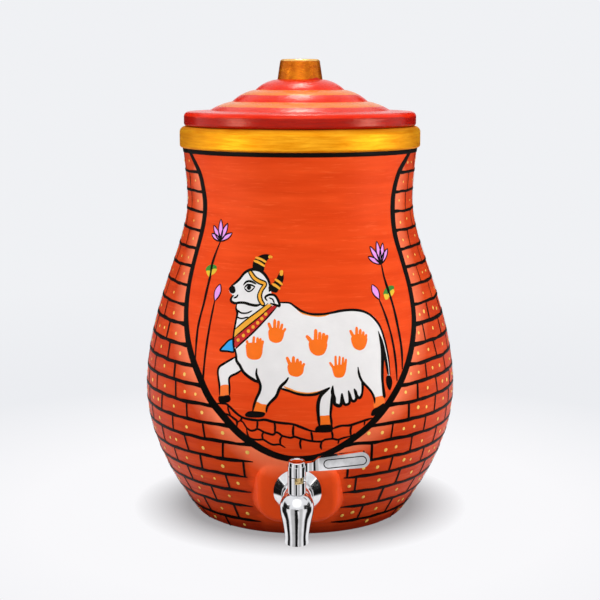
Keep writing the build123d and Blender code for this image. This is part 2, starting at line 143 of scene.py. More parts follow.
def new_material(name, roughness, metallic=0.0, gloss=0.5, tint=(1, 1, 1)):
    """A new material's nodes, with the object's coordinates and its shader set up."""
    tree = new_tree(name)
    tree.shader = tree.nodes["Principled BSDF"]
    values = {"Roughness": roughness, "Metallic": metallic, "Specular IOR Level": gloss}
    for key, value in values.items():
        tree.shader.inputs[key].default_value = value
    tree.shader.inputs["Specular Tint"].default_value = (*tint, 1)
    return tree


BELLY_RADIUS = nodes["jar_body"].bound_box[4][0]
RIM_LOW = 320 * MM
STREAK_STRETCH = 14.0
PAINT_GRAIN = 70.0
WARM = (1.0, 0.3, 0.12)
SIDE = "side"


def polar(tree, vector):
    """A place's angle from -Y towards +X, its distance from the upright axis and its height."""
    axes = tree.axes(vector)
    turn = tree.math("ARCTAN2", axes["X"], tree.times(axes["Y"], -1.0))
    flat = tree.add("CombineXYZ", {"X": axes["X"], "Y": axes["Y"]}).outputs[0]
    return turn, tree.length(flat), axes["Z"]


def wrapped(tree, stretch=STREAK_STRETCH):
    """Coordinates that run round the jar: arc, height times a stretch, radius. Gives the last two too."""
    turn, radius, height = polar(tree, tree.place)
    along = {"X": tree.times(turn, BELLY_RADIUS), "Y": tree.times(height, stretch), "Z": radius}
    return tree.add("CombineXYZ", along).outputs[0], radius, height


def paint_material(name, color, depth, roughness=0.42, gloss=0.2):
    """Hand-laid poster paint: slightly uneven in colour, with fine brush marks."""
    tree = new_material(name, roughness, gloss=gloss)
    marks = tree.cloud(wrapped(tree, 3.0)[0], PAINT_GRAIN * 3, detail=4.0)
    patches = tree.cloud(tree.place, PAINT_GRAIN, detail=2.0)
    deep = [channel * depth for channel in color]
    tone = tree.mix(tree.spread(patches, 0.35, 0.7), deep, color)
    tree.drive("Base Color", tree.mix(tree.spread(marks, 0.62, 0.3, 0.0, 0.35), tone, deep))
    tree.bump(marks, 0.00012)
    return tree.owner


def brushed_ground(name, color, dark, light):
    """A broad coat brushed on a turning wheel: long level streaks, with clay grain under it."""
    tree = new_material(name, 0.46, gloss=0.2, tint=WARM)
    streaked, _, height = wrapped(tree)
    fine = tree.cloud(streaked, 42.0, detail=5.0, roughness=0.65)
    broad = tree.cloud(streaked, 9.0, detail=2.0)
    mottled = tree.cloud(tree.place, 22.0, detail=2.0)
    tone = tree.mix(tree.spread(broad, 0.35, 0.68), dark, color)
    tone = tree.mix(tree.spread(fine, 0.56, 0.76, 0.0, 0.75), tone, light)
    tone = tree.mix(tree.spread(mottled, 0.55, 0.3, 0.0, 0.4), tone, dark)
    tree.drive("Roughness", tree.spread(fine, 0.3, 0.8, 0.54, 0.38))
    grain = tree.cloud(tree.place, 900.0, detail=2.0)
    tree.bump(tree.math("ADD", fine, tree.times(grain, 0.35)), 0.00016)
    return tree, tone, streaked, height


PANEL = (0.86, 0.076, 0.011)
BRICK = (0.70, 0.063, 0.006)
# Painted highlight: the lighter salmon that the bricks beside the border take, standing in for the lamps'
# sheen
SALMON_HIGHLIGHT = (1.0, 0.24, 0.11)
# The dark of the painted shade at the foot
FOOT_SHADE = (0.26, 0.012, 0.002)
TAP_GROUND_ANGLE = math.radians(18)
TAP_GROUND_TOP = 95 * MM


def panel_material():
    """The orange ground inside the border."""
    tree, tone, *_ = brushed_ground("panel_paint", PANEL, (0.74, 0.052, 0.006), (0.93, 0.13, 0.03))
    tree.drive("Base Color", tone)
    return tree.owner


def brick_ground(name):
    """The brick-red ground, with more orange in it round the tap, and painted shade darkening it towards
    the foot.
    """
    tree, tone, streaked, height = brushed_ground(name, BRICK, (0.56, 0.038, 0.005), (0.76, 0.09, 0.022))
    edge = tree.cloud(streaked, 18.0, detail=2.0)
    away = tree.math("ABSOLUTE", tree.axes(streaked)["X"])
    away = tree.math("ADD", away, tree.spread(edge, 0.3, 0.7, -3 * MM, 3 * MM))
    reach = TAP_GROUND_ANGLE * BELLY_RADIUS
    near = tree.spread(away, reach + 3 * MM, reach - 4 * MM)
    low = tree.spread(height, TAP_GROUND_TOP + 5 * MM, TAP_GROUND_TOP)
    tone = tree.mix(tree.times(near, low), tone, PANEL)
    # Painted shade: the ground darkens from about 16 mm down to the foot
    uneven = tree.math("ADD", height, tree.spread(edge, 0.3, 0.7, -2 * MM, 2 * MM))
    tone = tree.mix(tree.times(tree.spread(uneven, 16 * MM, 3 * MM), 0.75), tone, FOOT_SHADE)
    return tree, tone, streaked, height


def border_highlight_material():
    """The brick-red ground beside the border, turned lighter there as a painted highlight."""
    tree, tone, *_ = brick_ground("border_highlight_paint")
    side = tree.add("Attribute", attribute_name=SIDE).outputs["Fac"]
    brushed = tree.spread(tree.cloud(tree.place, 40.0), 0.3, 0.7, 0.55, 1.0)
    # Painted highlight: the salmon share is strongest along the strip's middle, and uneven
    share = tree.times(tree.spread(side, 1.0, 0.15), brushed)
    tree.drive("Base Color", tree.mix(share, tone, SALMON_HIGHLIGHT))
    return tree.owner


def bare_clay(tree, bare, tone, vector, scale):
    """Unpainted terracotta where a surface is bare, and a tone elsewhere."""
    clay = tree.mix(tree.cloud(vector, scale, detail=5.0), (0.40, 0.15, 0.07), (0.56, 0.24, 0.12))
    tree.drive("Base Color", tree.mix(bare, tone, clay))


def jar_material():
    """The jar: brick-red ground outside, a gold rim band, and bare clay inside and under the foot."""
    tree, tone, streaked, height = brick_ground("jar_clay")
    on_band = tree.math("GREATER_THAN", height, RIM_LOW - 0.4 * MM)
    tone = tree.mix(on_band, tone, gold_tone(tree, streaked))
    surface = tree.add("NewGeometry").outputs
    outward = tree.vector("NORMALIZE", tree.vector("MULTIPLY", surface["Position"], (1, 1, 0))[0])[0]
    facing_out = tree.vector("DOT_PRODUCT", outward, surface["Normal"])["Value"]
    inside = tree.math("LESS_THAN", facing_out, -0.12)
    bare = tree.most(inside, tree.math("LESS_THAN", height, 0.3 * MM))
    bare_clay(tree, bare, tone, streaked, 30.0)
    band_metal = tree.times(tree.math("SUBTRACT", 1.0, bare), on_band)
    tree.drive("Metallic", tree.times(band_metal, 0.6))
    return tree.owner


def gold_tone(tree, streaked):
    """Gold paint brushed round."""
    fine = tree.cloud(streaked, 30.0, detail=5.0, roughness=0.7)
    broad = tree.cloud(streaked, 7.0, detail=2.0)
    tone = tree.mix(tree.spread(fine, 0.35, 0.68), (0.73, 0.24, 0.002), (0.95, 0.44, 0.018))
    return tree.mix(tree.spread(broad, 0.55, 0.32, 0.0, 0.5), tone, (0.62, 0.20, 0.002))


# Where the lid's stripes end, in millimetres from its axis, and which paint each one has
LID_STRIPES = ((19.6, 0), (38.5, 1), (50.9, 2), (58.7, 1), (71.8, 2), (150.0, 1))
# Each of its paints, dark and light: a darker red as painted shade on its upright faces, the red of its
# level ones, orange
LID_TONES = (
    ((0.32, 0.003, 0.001), (0.47, 0.006, 0.001)),
    ((0.80, 0.012, 0.002), (0.93, 0.035, 0.006)),
    ((0.90, 0.17, 0.003), (1.0, 0.27, 0.012)),
)
BARE_RADIUS = 92 * MM
BARE_HEIGHT = 336.5 * MM


def lid_material():
    """The lid: gold knob, then red and orange rings, with bare clay below."""
    tree = new_material("lid_clay", 0.28, gloss=0.32, tint=(1.0, 0.6, 0.42))
    streaked, radius, height = wrapped(tree)
    turned = tree.vector("MULTIPLY", streaked, (1, 1, STREAK_STRETCH))[0]
    fine = tree.cloud(turned, 40.0, detail=4.0, roughness=0.65)
    edge = tree.spread(tree.cloud(tree.place, 45.0), 0.2, 0.8, -0.5 * MM, 0.5 * MM)
    edge = tree.math("ADD", radius, edge)
    up = tree.axes(tree.add("NewGeometry").outputs["Normal"])["Z"]
    worn = tree.spread(tree.cloud(turned, 12.0, detail=6.0, roughness=0.7), 0.3, 0.75)
    gold = tree.mix(worn, (0.36, 0.05, 0.001), (0.76, 0.23, 0.007))
    # Painted highlight: lighter gold on the knob's rounded top edge
    rounded = tree.times(tree.spread(up, 0.25, 0.5), tree.spread(up, 0.98, 0.9))
    gold = tree.mix(rounded, gold, (1.0, 0.62, 0.2))
    streaks = tree.spread(fine, 0.35, 0.7)
    painted_shade_red, bright_red, orange = (tree.mix(streaks, *tones) for tones in LID_TONES)
    # Painted shade: upright faces take the darker red, level ones the brighter red
    red = tree.mix(tree.spread(up, 0.1, 0.35), painted_shade_red, bright_red)
    paints = (gold, red, orange)
    tone = gold
    for (limit, _), (_, paint) in zip(LID_STRIPES, LID_STRIPES[1:]):
        tone = tree.mix(tree.math("GREATER_THAN", edge, limit * MM), tone, paints[paint])
    below = tree.times(tree.math("LESS_THAN", up, -0.3), tree.math("LESS_THAN", radius, BARE_RADIUS))
    bare = tree.most(below, tree.math("LESS_THAN", height, BARE_HEIGHT))
    bare_clay(tree, bare, tone, turned, 25.0)
    knob = tree.math("LESS_THAN", edge, LID_STRIPES[0][0] * MM)
    tree.drive("Metallic", tree.times(knob, 0.6))
    tree.drive("Roughness", tree.spread(fine, 0.3, 0.75, 0.3, 0.18))
    tree.bump(fine, 0.0002)
    return tree.owner


def metal_material(name, color, roughness, wear=0.05):
    """Bare or plated metal with faint polishing marks."""
    tree = new_material(name, roughness, metallic=1.0)
    marks = tree.cloud(tree.place, 160.0, detail=4.0)
    dull = [channel * 0.86 for channel in color]
    tree.drive("Base Color", tree.mix(tree.spread(marks, 0.4, 0.7), color, dull))
    tree.drive("Roughness", tree.spread(marks, 0.35, 0.7, roughness, roughness + wear))
    tree.bump(marks, 0.00001)
    return tree.owner


def soft_material(name, color, roughness):
    """Rubber or plastic with a moulded surface."""
    tree = new_material(name, roughness)
    marks = tree.cloud(tree.place, 400.0)
    pale = [channel * 1.4 for channel in color]
    tree.drive("Base Color", tree.mix(tree.spread(marks, 0.45, 0.7), color, pale))
    tree.bump(marks, 0.00005)
    return tree.owner


def dress_nodes():
    """Gives every solid its material."""
    chrome = metal_material("chrome_plate", (0.86, 0.86, 0.87), 0.045)
    brass = metal_material("turned_brass", (0.80, 0.58, 0.26), 0.22, wear=0.12)
    steel = metal_material("zinc_plate", (0.62, 0.62, 0.64), 0.3, wear=0.15)
    rubber = soft_material("black_rubber", (0.02, 0.02, 0.021), 0.7)
    plastic = soft_material("white_plastic", (0.6, 0.6, 0.57), 0.45)
    dress = (
        (jar_material(), ("jar_body",)),
        (lid_material(), ("lid",)),
        (chrome, ("tap_body", "wall_rosette", "stop_sleeve", "lever_handle", "cap_cover")),
        (brass, ("gland_bush", "valve_plug", "back_nut")),
        (steel, ("clamp_washer", "handle_screw")),
        (rubber, ("outer_gasket", "inner_gasket", "plug_seal_upper", "plug_seal_lower")),
        (plastic, ("inlet_seat_seal", "thrust_washer")),
    )
    for material, names in dress:
        for name in names:
            mesh = nodes[name].data
            mesh.materials.clear()
            mesh.materials.append(material)


dress_nodes()


# The wall that the paint lies on

OUTSIDE = 0.4
wall_mesh = nodes["jar_body"].data
wall = BVHTree.FromPolygons(
    [corner.co for corner in wall_mesh.vertices], [face.vertices for face in wall_mesh.polygons]
)


def on_wall(angle, height, lift):
    """The point at this angle and height, that far above the jar's outside."""
    outward = Vector((math.sin(angle), -math.cos(angle), 0))
    spot, normal, _, _ = wall.ray_cast(outward * OUTSIDE + Vector((0, 0, height)), -outward)
    return spot + normal * lift


RADIUS_STEP = 0.5 * MM
wall_radii = {}


def wall_radius(height):
    """The jar's outside radius away from the tap, looked up to half a millimetre."""
    key = round(height / RADIUS_STEP)
    if key not in wall_radii:
        wall_radii[key] = on_wall(math.pi / 2, key * RADIUS_STEP, 0).x
    return wall_radii[key]


# The camera stands a little off the tap's side
VIEW_TURN = math.radians(0.9)


def from_front(x, height):
    """The angle and height of what the camera sees at x and a height."""
    return VIEW_TURN + math.asin(max(-1, min(1, x / wall_radius(height)))), height


# Coats of paint

STROKE_SECTION = ((-1, 0.8), (-0.6, 1.05), (0, 1.15), (0.6, 1.05), (1, 0.8))
ROUND_END = (0.99, 0.92, 0.7, 0.38)
PATCH_STEP = 3 * MM
PATCH_MERGE = 0.02 * MM
DOT_CORNERS = 8
DOT_TOP = 1.6
DOT_RINGS = ((0.6, 1.35), (1, 0.7))


def smooth_path(points, step, closed=False):
    """A smooth curve through the points, sampled about every step."""
    knots = [Vector(point) for point in points]
    if closed:
        knots = [knots[-1], *knots, knots[0], knots[1]]
    else:
        knots = [knots[0] * 2 - knots[1], *knots, knots[-1] * 2 - knots[-2]]
    path = []
    for a, b, c, d in zip(knots, knots[1:], knots[2:], knots[3:]):
        count = max(2, round((c - b).length / step))
        for number in range(count):
            t = number / count
            square = (2 * a - 5 * b + 4 * c - d) * t**2
            cube = (3 * b - a - 3 * c + d) * t**3
            path.append(0.5 * (2 * b + (c - a) * t + square + cube))
    return path if closed else [*path, knots[-2]]


def add_object(name, data):
    """A new object in the scene."""
    made = bpy.data.objects.new(name, data)
    bpy.context.scene.collection.objects.link(made)
    return made


def add_mesh(name, corners, faces, material):
    """A new object made of faces in one material."""
    mesh = bpy.data.meshes.new(name)
    mesh.from_pydata(corners, [], faces)
    mesh.materials.append(material)
    return add_object(name, mesh)


class Coat:
    """One layer of one paint: it gathers strokes, patches and dots, and ends as one piece."""

    def __init__(self, name, paint, lift):
        self.name, self.paint, self.lift = name, paint, lift
        self.corners, self.faces, self.sides = [], [], []

    def stroke(self, path, closed=False, section=STROKE_SECTION):
        """A ribbon along samples of angle, height and width, domed unless its section is flat."""
        if not closed:
            path = [*rounded_end(path[1], path[0]), *path, *reversed(rounded_end(path[-2], path[-1]))]
        start, wide, count = len(self.corners), len(section), len(path)
        for number, (angle, height, width) in enumerate(path):
            before = path[number - 1] if closed or number else path[0]
            after = path[(number + 1) % count] if closed or number + 1 < count else path[-1]
            radius = wall_radius(height)
            turn = math.remainder(after[0] - before[0], math.tau)
            along = Vector((turn * radius, after[1] - before[1])).normalized()
            for side, rise in section:
                reach = side * width / 2
                spot = (angle - along.y * reach / radius, height + along.x * reach)
                self.corners.append(on_wall(*spot, self.lift * rise))
                self.sides.append(abs(side))
        for number in range(count if closed else count - 1):
            here, there = start + number * wide, start + (number + 1) % count * wide
            self.faces += [(here + k + 1, here + k, there + k, there + k + 1) for k in range(wide - 1)]

    def patch(self, outline):
        """A filled shape inside a closed outline of angles and heights."""
        edge = [Vector((angle * BELLY_RADIUS, height)) for angle, height, *_ in outline]
        low = Vector((min(p.x for p in edge), min(p.y for p in edge)))
        high = Vector((max(p.x for p in edge), max(p.y for p in edge)))
        grid = [
            Vector((low.x + PATCH_STEP * (column + 0.5 * (row % 2)), low.y + PATCH_STEP * row))
            for column in range(int((high.x - low.x) / PATCH_STEP) + 1)
            for row in range(int((high.y - low.y) / PATCH_STEP) + 1)
        ]
        loop = [list(range(len(edge)))]
        spots, _, faces, *_ = geometry.delaunay_2d_cdt(edge + grid, [], loop, 1, PATCH_MERGE)
        used = sorted({corner for face in faces for corner in face})
        places = {corner: len(self.corners) + number for number, corner in enumerate(used)}
        self.corners += [on_wall(spots[c].x / BELLY_RADIUS, spots[c].y, self.lift) for c in used]
        self.faces += [[places[corner] for corner in face] for face in faces]

    def dot(self, angle, height, radius):
        """A small domed blob."""
        start = len(self.corners)
        self.corners.append(on_wall(angle, height, self.lift * DOT_TOP))
        for reach, rise in DOT_RINGS:
            for number in range(DOT_CORNERS):
                turn = math.tau * number / DOT_CORNERS
                across = radius * reach * math.cos(turn) / wall_radius(height)
                spot = (angle + across, height + radius * reach * math.sin(turn))
                self.corners.append(on_wall(*spot, self.lift * rise))
        for number in range(DOT_CORNERS):
            near, far = start + 1 + number, start + 1 + (number + 1) % DOT_CORNERS
            self.faces.append((start, near, far))
            self.faces.append((near, near + DOT_CORNERS, far + DOT_CORNERS, far))

    def finish(self):
        """Makes the piece, and lets it ride on the jar."""
        piece = add_mesh(self.name, self.corners, self.faces, self.paint)
        # A coat of strokes alone also keeps how far each point is from its stroke's middle
        if len(self.sides) == len(self.corners):
            piece.data.attributes.new(SIDE, "FLOAT", "POINT").data.foreach_set("value", self.sides)
        piece.data.shade_smooth()
        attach(piece, JAR)


def rounded_end(inner, end):
    """Samples that round off a stroke past its end, outermost first."""
    angle, height, width = end
    radius = wall_radius(height)
    away = Vector(((angle - inner[0]) * radius, height - inner[1])).normalized() * width / 2
    return [
        (angle + away.x * share / radius, height + away.y * share, width * math.sqrt(1 - share**2))
        for share in ROUND_END
    ]


def wobbled(path, reach, seed):
    """A path as a hand draws it, a little off and uneven in width."""
    drawn = []
    for angle, height, width in path:
        along = Vector((angle * BELLY_RADIUS / WOBBLE_LENGTH, height / WOBBLE_LENGTH, seed))
        shift = noise.noise(along) * reach
        swell = 1 + WOBBLE_SWELL * noise.noise(along * 1.7)
        drawn.append((angle, height + shift, width * swell))
    return drawn


black = paint_material("black_paint", (0.004, 0.003, 0.002), 0.5, roughness=0.45, gloss=0.05)
yellow = paint_material("yellow_paint", (1.0, 0.62, 0.12), 0.85)

BLACK_LIFT = 0.42 * MM
GROUND_LIFT = 0.2 * MM
HALO_LIFT = 0.14 * MM
HALO_WIDTH = 42 * MM
HALO_TOP = 292 * MM
HALO_SECTION = [(number / 8, 1) for number in range(-8, 9)]
DOT_LIFT = 0.3 * MM
WOBBLE_LENGTH = 14 * MM
WOBBLE_SWELL = 0.35


# Border: a keyhole arch from the rim line, down round the front. x, height and width in millimetres

RIM_LINE_HEIGHT = 318.1 * MM
RIM_LINE_WIDTH = 3.6 * MM
RIM_LINE_SAMPLES = 240
CLOSING_SAMPLES = 60
BORDER = (
    (-92.5, 318, 5), (-83.8, 301.5, 6.2), (-79.8, 284, 6.6), (-79, 272, 6.6), (-80.8, 257, 6.3),
    (-85.6, 238, 6.2), (-89.4, 223.5, 6.2), (-92.6, 207, 6.1), (-94.3, 190, 6.2), (-93.4, 173, 6.2),
    (-89.6, 156.5, 6.4), (-82, 138.8, 6.6), (-73.4, 122.5, 6.6), (-62.2, 109.6, 6.6), (-50, 97.1, 6.6),
    (-37, 87.8, 6.3), (-23.4, 80.7, 5.8), (-10, 76.9, 5.4), (3, 76.7, 5.2), (16, 78.6, 5.3), (29, 84, 5.5),
    (43.5, 92.8, 5.6), (57.4, 103.4, 5.8), (70.8, 117.4, 6), (82.6, 135.2, 6.2), (89.2, 150.8, 6.2),
    (93, 166.6, 6.2), (94.3, 183, 6.1), (92.4, 200, 6), (89.4, 214, 6.1), (84.2, 232, 6.2),
    (78.8, 251, 6.3), (77, 270, 6.5), (77.9, 285.5, 6.4), (82.8, 302.6, 6.2), (92.2, 318, 5),
)
BORDER_STEP = 2.0 * MM

border_knots = [(*from_front(x * MM, height * MM), width * MM) for x, height, width in BORDER]
border_path = smooth_path(border_knots, BORDER_STEP)
border_low = min(border_path, key=lambda sample: sample[1])


def border_angles(height):
    """Where the border crosses a height, as the left and the right angle, or None below it."""
    if height <= border_low[1]:
        return None
    lowest = border_path.index(border_low)
    halves = border_path[:lowest], border_path[lowest:]
    return [min(half, key=lambda sample: abs(sample[1] - height))[0] for half in halves]


def paint_border():
    """The panel's ground, its black border and the black line under the rim band."""
    panel = Coat("panel_ground", panel_material(), GROUND_LIFT)
    ends = border_path[-1][0], border_path[0][0]
    closing = [(angle, RIM_LINE_HEIGHT) for angle in spaced(*ends, CLOSING_SAMPLES)]
    panel.patch([(angle, height) for angle, height, _ in border_path[1:-1]] + closing)
    panel.finish()
    # A painted highlight: a lighter salmon strip along the outer side of the border
    halo = Coat("border_highlight_strip", border_highlight_material(), HALO_LIFT)
    wide_path = [(angle, height, HALO_WIDTH) for angle, height, _ in border_path if height < HALO_TOP]
    halo.stroke(wide_path, section=HALO_SECTION)
    halo.finish()
    lines = Coat("border_lines", black, BLACK_LIFT)
    lines.stroke(border_path)
    turns = [math.tau * number / RIM_LINE_SAMPLES for number in range(RIM_LINE_SAMPLES)]
    lines.stroke([(turn, RIM_LINE_HEIGHT, RIM_LINE_WIDTH) for turn in turns], closed=True)
    lines.finish()


def spaced(start, end, count):
    """Evenly spaced values between two ends, without the ends."""
    return [start + (end - start) * (number + 1) / (count + 1) for number in range(count)]


# Bricks: rows of them all round outside the border, in running bond, with a dot or two on each.
# A row's lower line in millimetres, its first joints left and right of the tap in degrees, and about how
# many degrees lie between its joints

BRICK_ROWS = (
    (0, -38.6, 58, 18),
    (12.1, -29.4, 29.5, 18),
    (27.5, -38.2, 37.1, 18.5),
    (42.5, -28.4, 22.8, 19.5),
    (57.3, -20, 18.6, 17.5),
    (71.8, -27.5, 27.1, 17.2),
    (87.3, -34.8, 34.7, 17.3),
    (101.7, -42.4, 42, 14.8),
    (116.6, -48.7, 46.7, 13.5),
    (131.6, -50.3, 52.5, 15),
    (146.5, -56.1, 61.3, 14.5),
    (161.6, -59.8, 55.2, 14.6),
    (177.6, -67.4, 62.2, 16),
    (192.8, -73.9, 70.9, 16),
    (208.3, -65.8, 63.3, 17),
    (223.2, -74.5, 72.3, 17),
    (238, -66.5, 63.9, 18),
    (253.1, -75, 73.3, 18),
    (268.5, -68, 65.9, 18),
    (285, -69.4, 68.5, 18),
    (301, -77, 76, 18),
)
FREE_ENDS = ((-18.2, 15.8), (-20.0, 18.4), (-19.0, 18.2), (-19.3, 17.6), (-16.3, 17.5))
LAST_FREE_ROW = 5
NECK_LINE = 190 * MM
ROW_WIDTHS = (3.0 * MM, 2.3 * MM)
JOINT_WIDTHS = (2.1 * MM, 1.0 * MM)
DOT_RADII = (1.65 * MM, 1.2 * MM)
RING_STEP = 4 * MM
ROW_ENDING = 12 * MM
THIN_END = 0.3
THICK_END = 1.25
ROW_WOBBLE = 0.8 * MM
LOWEST_BRICK = 1.5 * MM
JOINT_SHIFT = 0.025
JOINT_LEAN = 0.01
JOINT_SWELL = (0.8, 1.2)
JOINT_STEPS = (-1, -0.3, 0.3, 1)
SHORTEST_WITH_DOT = 9 * MM
SHORTEST_WITH_TWO = 24 * MM
TWO_ON_RIGHT = 0.5
TWO_ON_LEFT = 0.2
TWO_DOTS = (0.33, 0.67)
ONE_DOT = (0.5,)
DOT_SHIFT = 0.06
DOT_RISE = (-1.5, 1.0)
DOT_SWELL = (0.75, 1.1)


def bare_span(row, height):
    """The angles between which the front has no bricks at a height."""
    crossed = border_angles(height)
    if crossed:
        return crossed
    return [math.radians(end) for end in FREE_ENDS[max(0, min(row, LAST_FREE_ROW) - 1)]]


def row_line(mortar, row, height):
    """The mortar line under a row, from one side of the bare front round the back to the other."""
    left, right = bare_span(row, height)
    free = border_angles(height) is None
    width = ROW_WIDTHS[height > NECK_LINE]
    turn = math.tau - (right - left)
    count = round(turn * wall_radius(height) / RING_STEP)
    ring = []
    for number in range(count + 1):
        near = min(number, count - number) * RING_STEP / ROW_ENDING
        if free:
            ending = min(1, THIN_END + (1 - THIN_END) * near)
        else:
            ending = max(1, THICK_END - (THICK_END - 1) * near)
        ring.append((right + turn * number / count, height, width * ending))
    mortar.stroke(wobbled(ring, ROW_WOBBLE, row * 5.3))


def paint_bricks():
    """Mortar lines, joints and dots."""
    mortar = Coat("brick_lines", black, BLACK_LIFT)
    dots = Coat("brick_dots", yellow, DOT_LIFT)
    tops = [line[0] * MM for line in BRICK_ROWS[1:]] + [RIM_LINE_HEIGHT]
    for row, ((low, left_joint, right_joint, pitch), high) in enumerate(zip(BRICK_ROWS, tops)):
        low = max(low * MM, LOWEST_BRICK)
        if row:
            row_line(mortar, row, low)
        middle = (low + high) / 2
        in_neck = middle > NECK_LINE
        turn = 360 + left_joint - right_joint
        count = round(turn / pitch)
        joints = [math.radians(right_joint + turn * number / count) for number in range(count + 1)]
        for number, angle in enumerate(joints):
            angle += 0 if number in (0, count) else hand.uniform(-JOINT_SHIFT, JOINT_SHIFT)
            lean = hand.uniform(-JOINT_LEAN, JOINT_LEAN)
            width = JOINT_WIDTHS[in_neck] * hand.uniform(*JOINT_SWELL)
            steps = [(angle + lean * step, low + (high - low) * (step + 1) / 2) for step in JOINT_STEPS]
            mortar.stroke([(*spot, width) for spot in steps])
        left, right = bare_span(row, middle)
        paint_dots(dots, [right, *joints, left + math.tau], middle, in_neck)
    mortar.finish()
    dots.finish()


def paint_dots(dots, joints, middle, in_neck):
    """A dot or two on every brick between its joints: more often two on the right."""
    for start, end in zip(joints, joints[1:]):
        length = (end - start) * wall_radius(middle)
        if length < SHORTEST_WITH_DOT:
            continue
        likely = TWO_ON_RIGHT if start < math.pi else TWO_ON_LEFT
        double = length > SHORTEST_WITH_TWO and hand.random() < likely
        for share in TWO_DOTS if double else ONE_DOT:
            angle = start + (end - start) * (share + hand.uniform(-DOT_SHIFT, DOT_SHIFT))
            radius = DOT_RADII[in_neck] * hand.uniform(*DOT_SWELL)
            dots.dot(angle, middle + hand.uniform(*DOT_RISE) * MM, radius)


paint_border()
paint_bricks()


# The picture inside the border: a decorated white cow between lotuses, in the common temple-cloth manner.
# It is set out on a sheet in units of about a millimetre, x to the right and y down.

SHEET_LEFT = -60.75
SHEET_TOP = 246.8
SHEET_ACROSS = 1.059
SHEET_DOWN = 1.024
SHEET_BEND = 0.0007
SKETCH_STEP = 1.0 * MM
KNOT_STEP = 0.01
BRUSH_WOBBLE = 9 * MM
BRUSH_SWELL = 0.22
# A brush line tapers at each end over its length divided by this
BRUSH_ENDING = 5

WHITE_LIFT = 0.26 * MM
COLOR_LIFT = 0.3 * MM
LEAF_TIP_LIFT = 0.39 * MM
TOP_LIFT = 0.62 * MM


def placed(point):
    """Where a point of the sheet comes on the wall: its angle and height."""
    x = SHEET_LEFT + SHEET_ACROSS * point[0]
    height = SHEET_TOP - SHEET_DOWN * point[1] - SHEET_BEND * x * x
    return from_front(x * MM, height * MM)


def brush(coat, width, points, taper=0.5, closed=False):
    """A brush line on the sheet, thinner towards its ends."""
    path = smooth_path([placed(point) for point in points], KNOT_STEP, closed)
    path = smooth_path([(angle * BELLY_RADIUS, height) for angle, height in path], SKETCH_STEP)
    count = len(path)
    ending = max(2, count // BRUSH_ENDING)
    samples = []
    for number, (arc, height) in enumerate(path):
        near = min(number, count - 1 - number, ending) / ending
        share = 1 if closed else taper + (1 - taper) * math.sin(near * math.pi / 2)
        uneven = 1 + BRUSH_SWELL * noise.noise(Vector((arc, height, 0)) / BRUSH_WOBBLE)
        samples.append((arc / BELLY_RADIUS, height, width * MM * share * uneven))
    coat.stroke(samples)


def brush_all(coat, lines, weight=1.0, taper=0.5):
    """Brush lines, each with its width first and its points after it."""
    for width, *points in lines:
        brush(coat, width * weight, points, taper)


def fill(coat, points):
    """A filled shape on the sheet."""
    knots = [(angle * BELLY_RADIUS, height) for angle, height in map(placed, points)]
    path = smooth_path(knots, SKETCH_STEP, closed=True)
    coat.patch([(arc / BELLY_RADIUS, height) for arc, height in path])


def fill_coat(name, paint, shapes, lift=COLOR_LIFT):
    """A coat of filled shapes."""
    coat = Coat(name, paint, lift)
    for shape in shapes:
        fill(coat, shape)
    return coat


def blob(coat, point, radius):
    """A dot on the sheet, with its radius in millimetres."""
    coat.dot(*placed(point), radius * MM)


# Shapes to fill are lists of points. A list of lines has each line's width in millimetres, then its points

TORSO = (
    (40, 45.5), (44, 44), (49, 44.5), (53, 46.5), (58, 50), (64, 52.5), (72, 53), (80, 52), (88, 50),
    (96, 49.3), (104, 50), (110, 52), (115, 56), (118.5, 62), (120, 70), (120.3, 82), (119.8, 95),
    (119.9, 106), (121.2, 117), (121.5, 120.5), (114.3, 121.2), (113.5, 115), (109.5, 109), (105, 104.5),
    (102.5, 106), (99, 110), (91, 111), (83, 111), (80.5, 119), (80.5, 131), (80, 133.5), (72, 134),
    (71, 131), (70.8, 122), (72.5, 114.5), (76, 110.8), (70, 112.8), (62, 113.6), (54, 112), (46, 109.5),
    (42.5, 110.5), (39, 115.5), (34, 120.8), (32.5, 124.5), (31.5, 127.3), (22.3, 127), (22, 124.5),
    (24, 117.5), (26.8, 110), (26.9, 104.8), (20, 101.5), (14.5, 96.8), (13, 94.8), (8.5, 97.8),
    (4.4, 100.6), (3.6, 107), (3.8, 114.6), (3, 116), (-2.8, 116.4), (-3.4, 114), (-3.6, 107), (-4.6, 99),
    (-4.4, 94.6), (-1, 91.2), (4, 88), (8.8, 85.4), (8.3, 82), (7.6, 79), (7, 75), (7, 69), (8, 62),
    (9, 55), (9.3, 50), (9.2, 46), (14, 44), (22, 45), (30, 44), (36, 42),
)
HEAD = (
    (13.5, 44.2), (9.5, 44.6), (6.2, 43.9), (4.9, 42.2), (5.3, 40.2), (5.8, 38.4), (3.8, 36.6), (3, 34.5),
    (3.9, 32.2), (7, 30), (10, 27.4), (13, 24), (16, 21.4), (20, 19.8), (24.5, 19.6), (28.5, 21.4),
    (32, 25), (33.9, 29.5), (35, 34), (36, 39), (35, 43), (31.5, 45.6), (28, 46), (24, 46), (18, 45),
)
EAR = ((31, 40), (34, 38.2), (38, 38.8), (40.5, 42), (41.8, 46.3), (39, 45.8), (35, 44.6), (32, 42.8))
TAIL = (
    (117.6, 65.4), (120, 68), (122.4, 76), (124, 85), (125.4, 93), (126, 99.5), (124.6, 100.6),
    (123.2, 93), (121, 84), (119.6, 76),
)
TUFTS = (
    (82, 108), (82, 116), (84, 121.6), (87, 122.6), (88.8, 119.8), (90.6, 122.4), (93.6, 121.8),
    (95, 118.8), (98, 119.8), (100.4, 116.8), (103.2, 116), (104.4, 111), (104.4, 105.5), (101.5, 100),
    (92, 104), (84, 105),
)
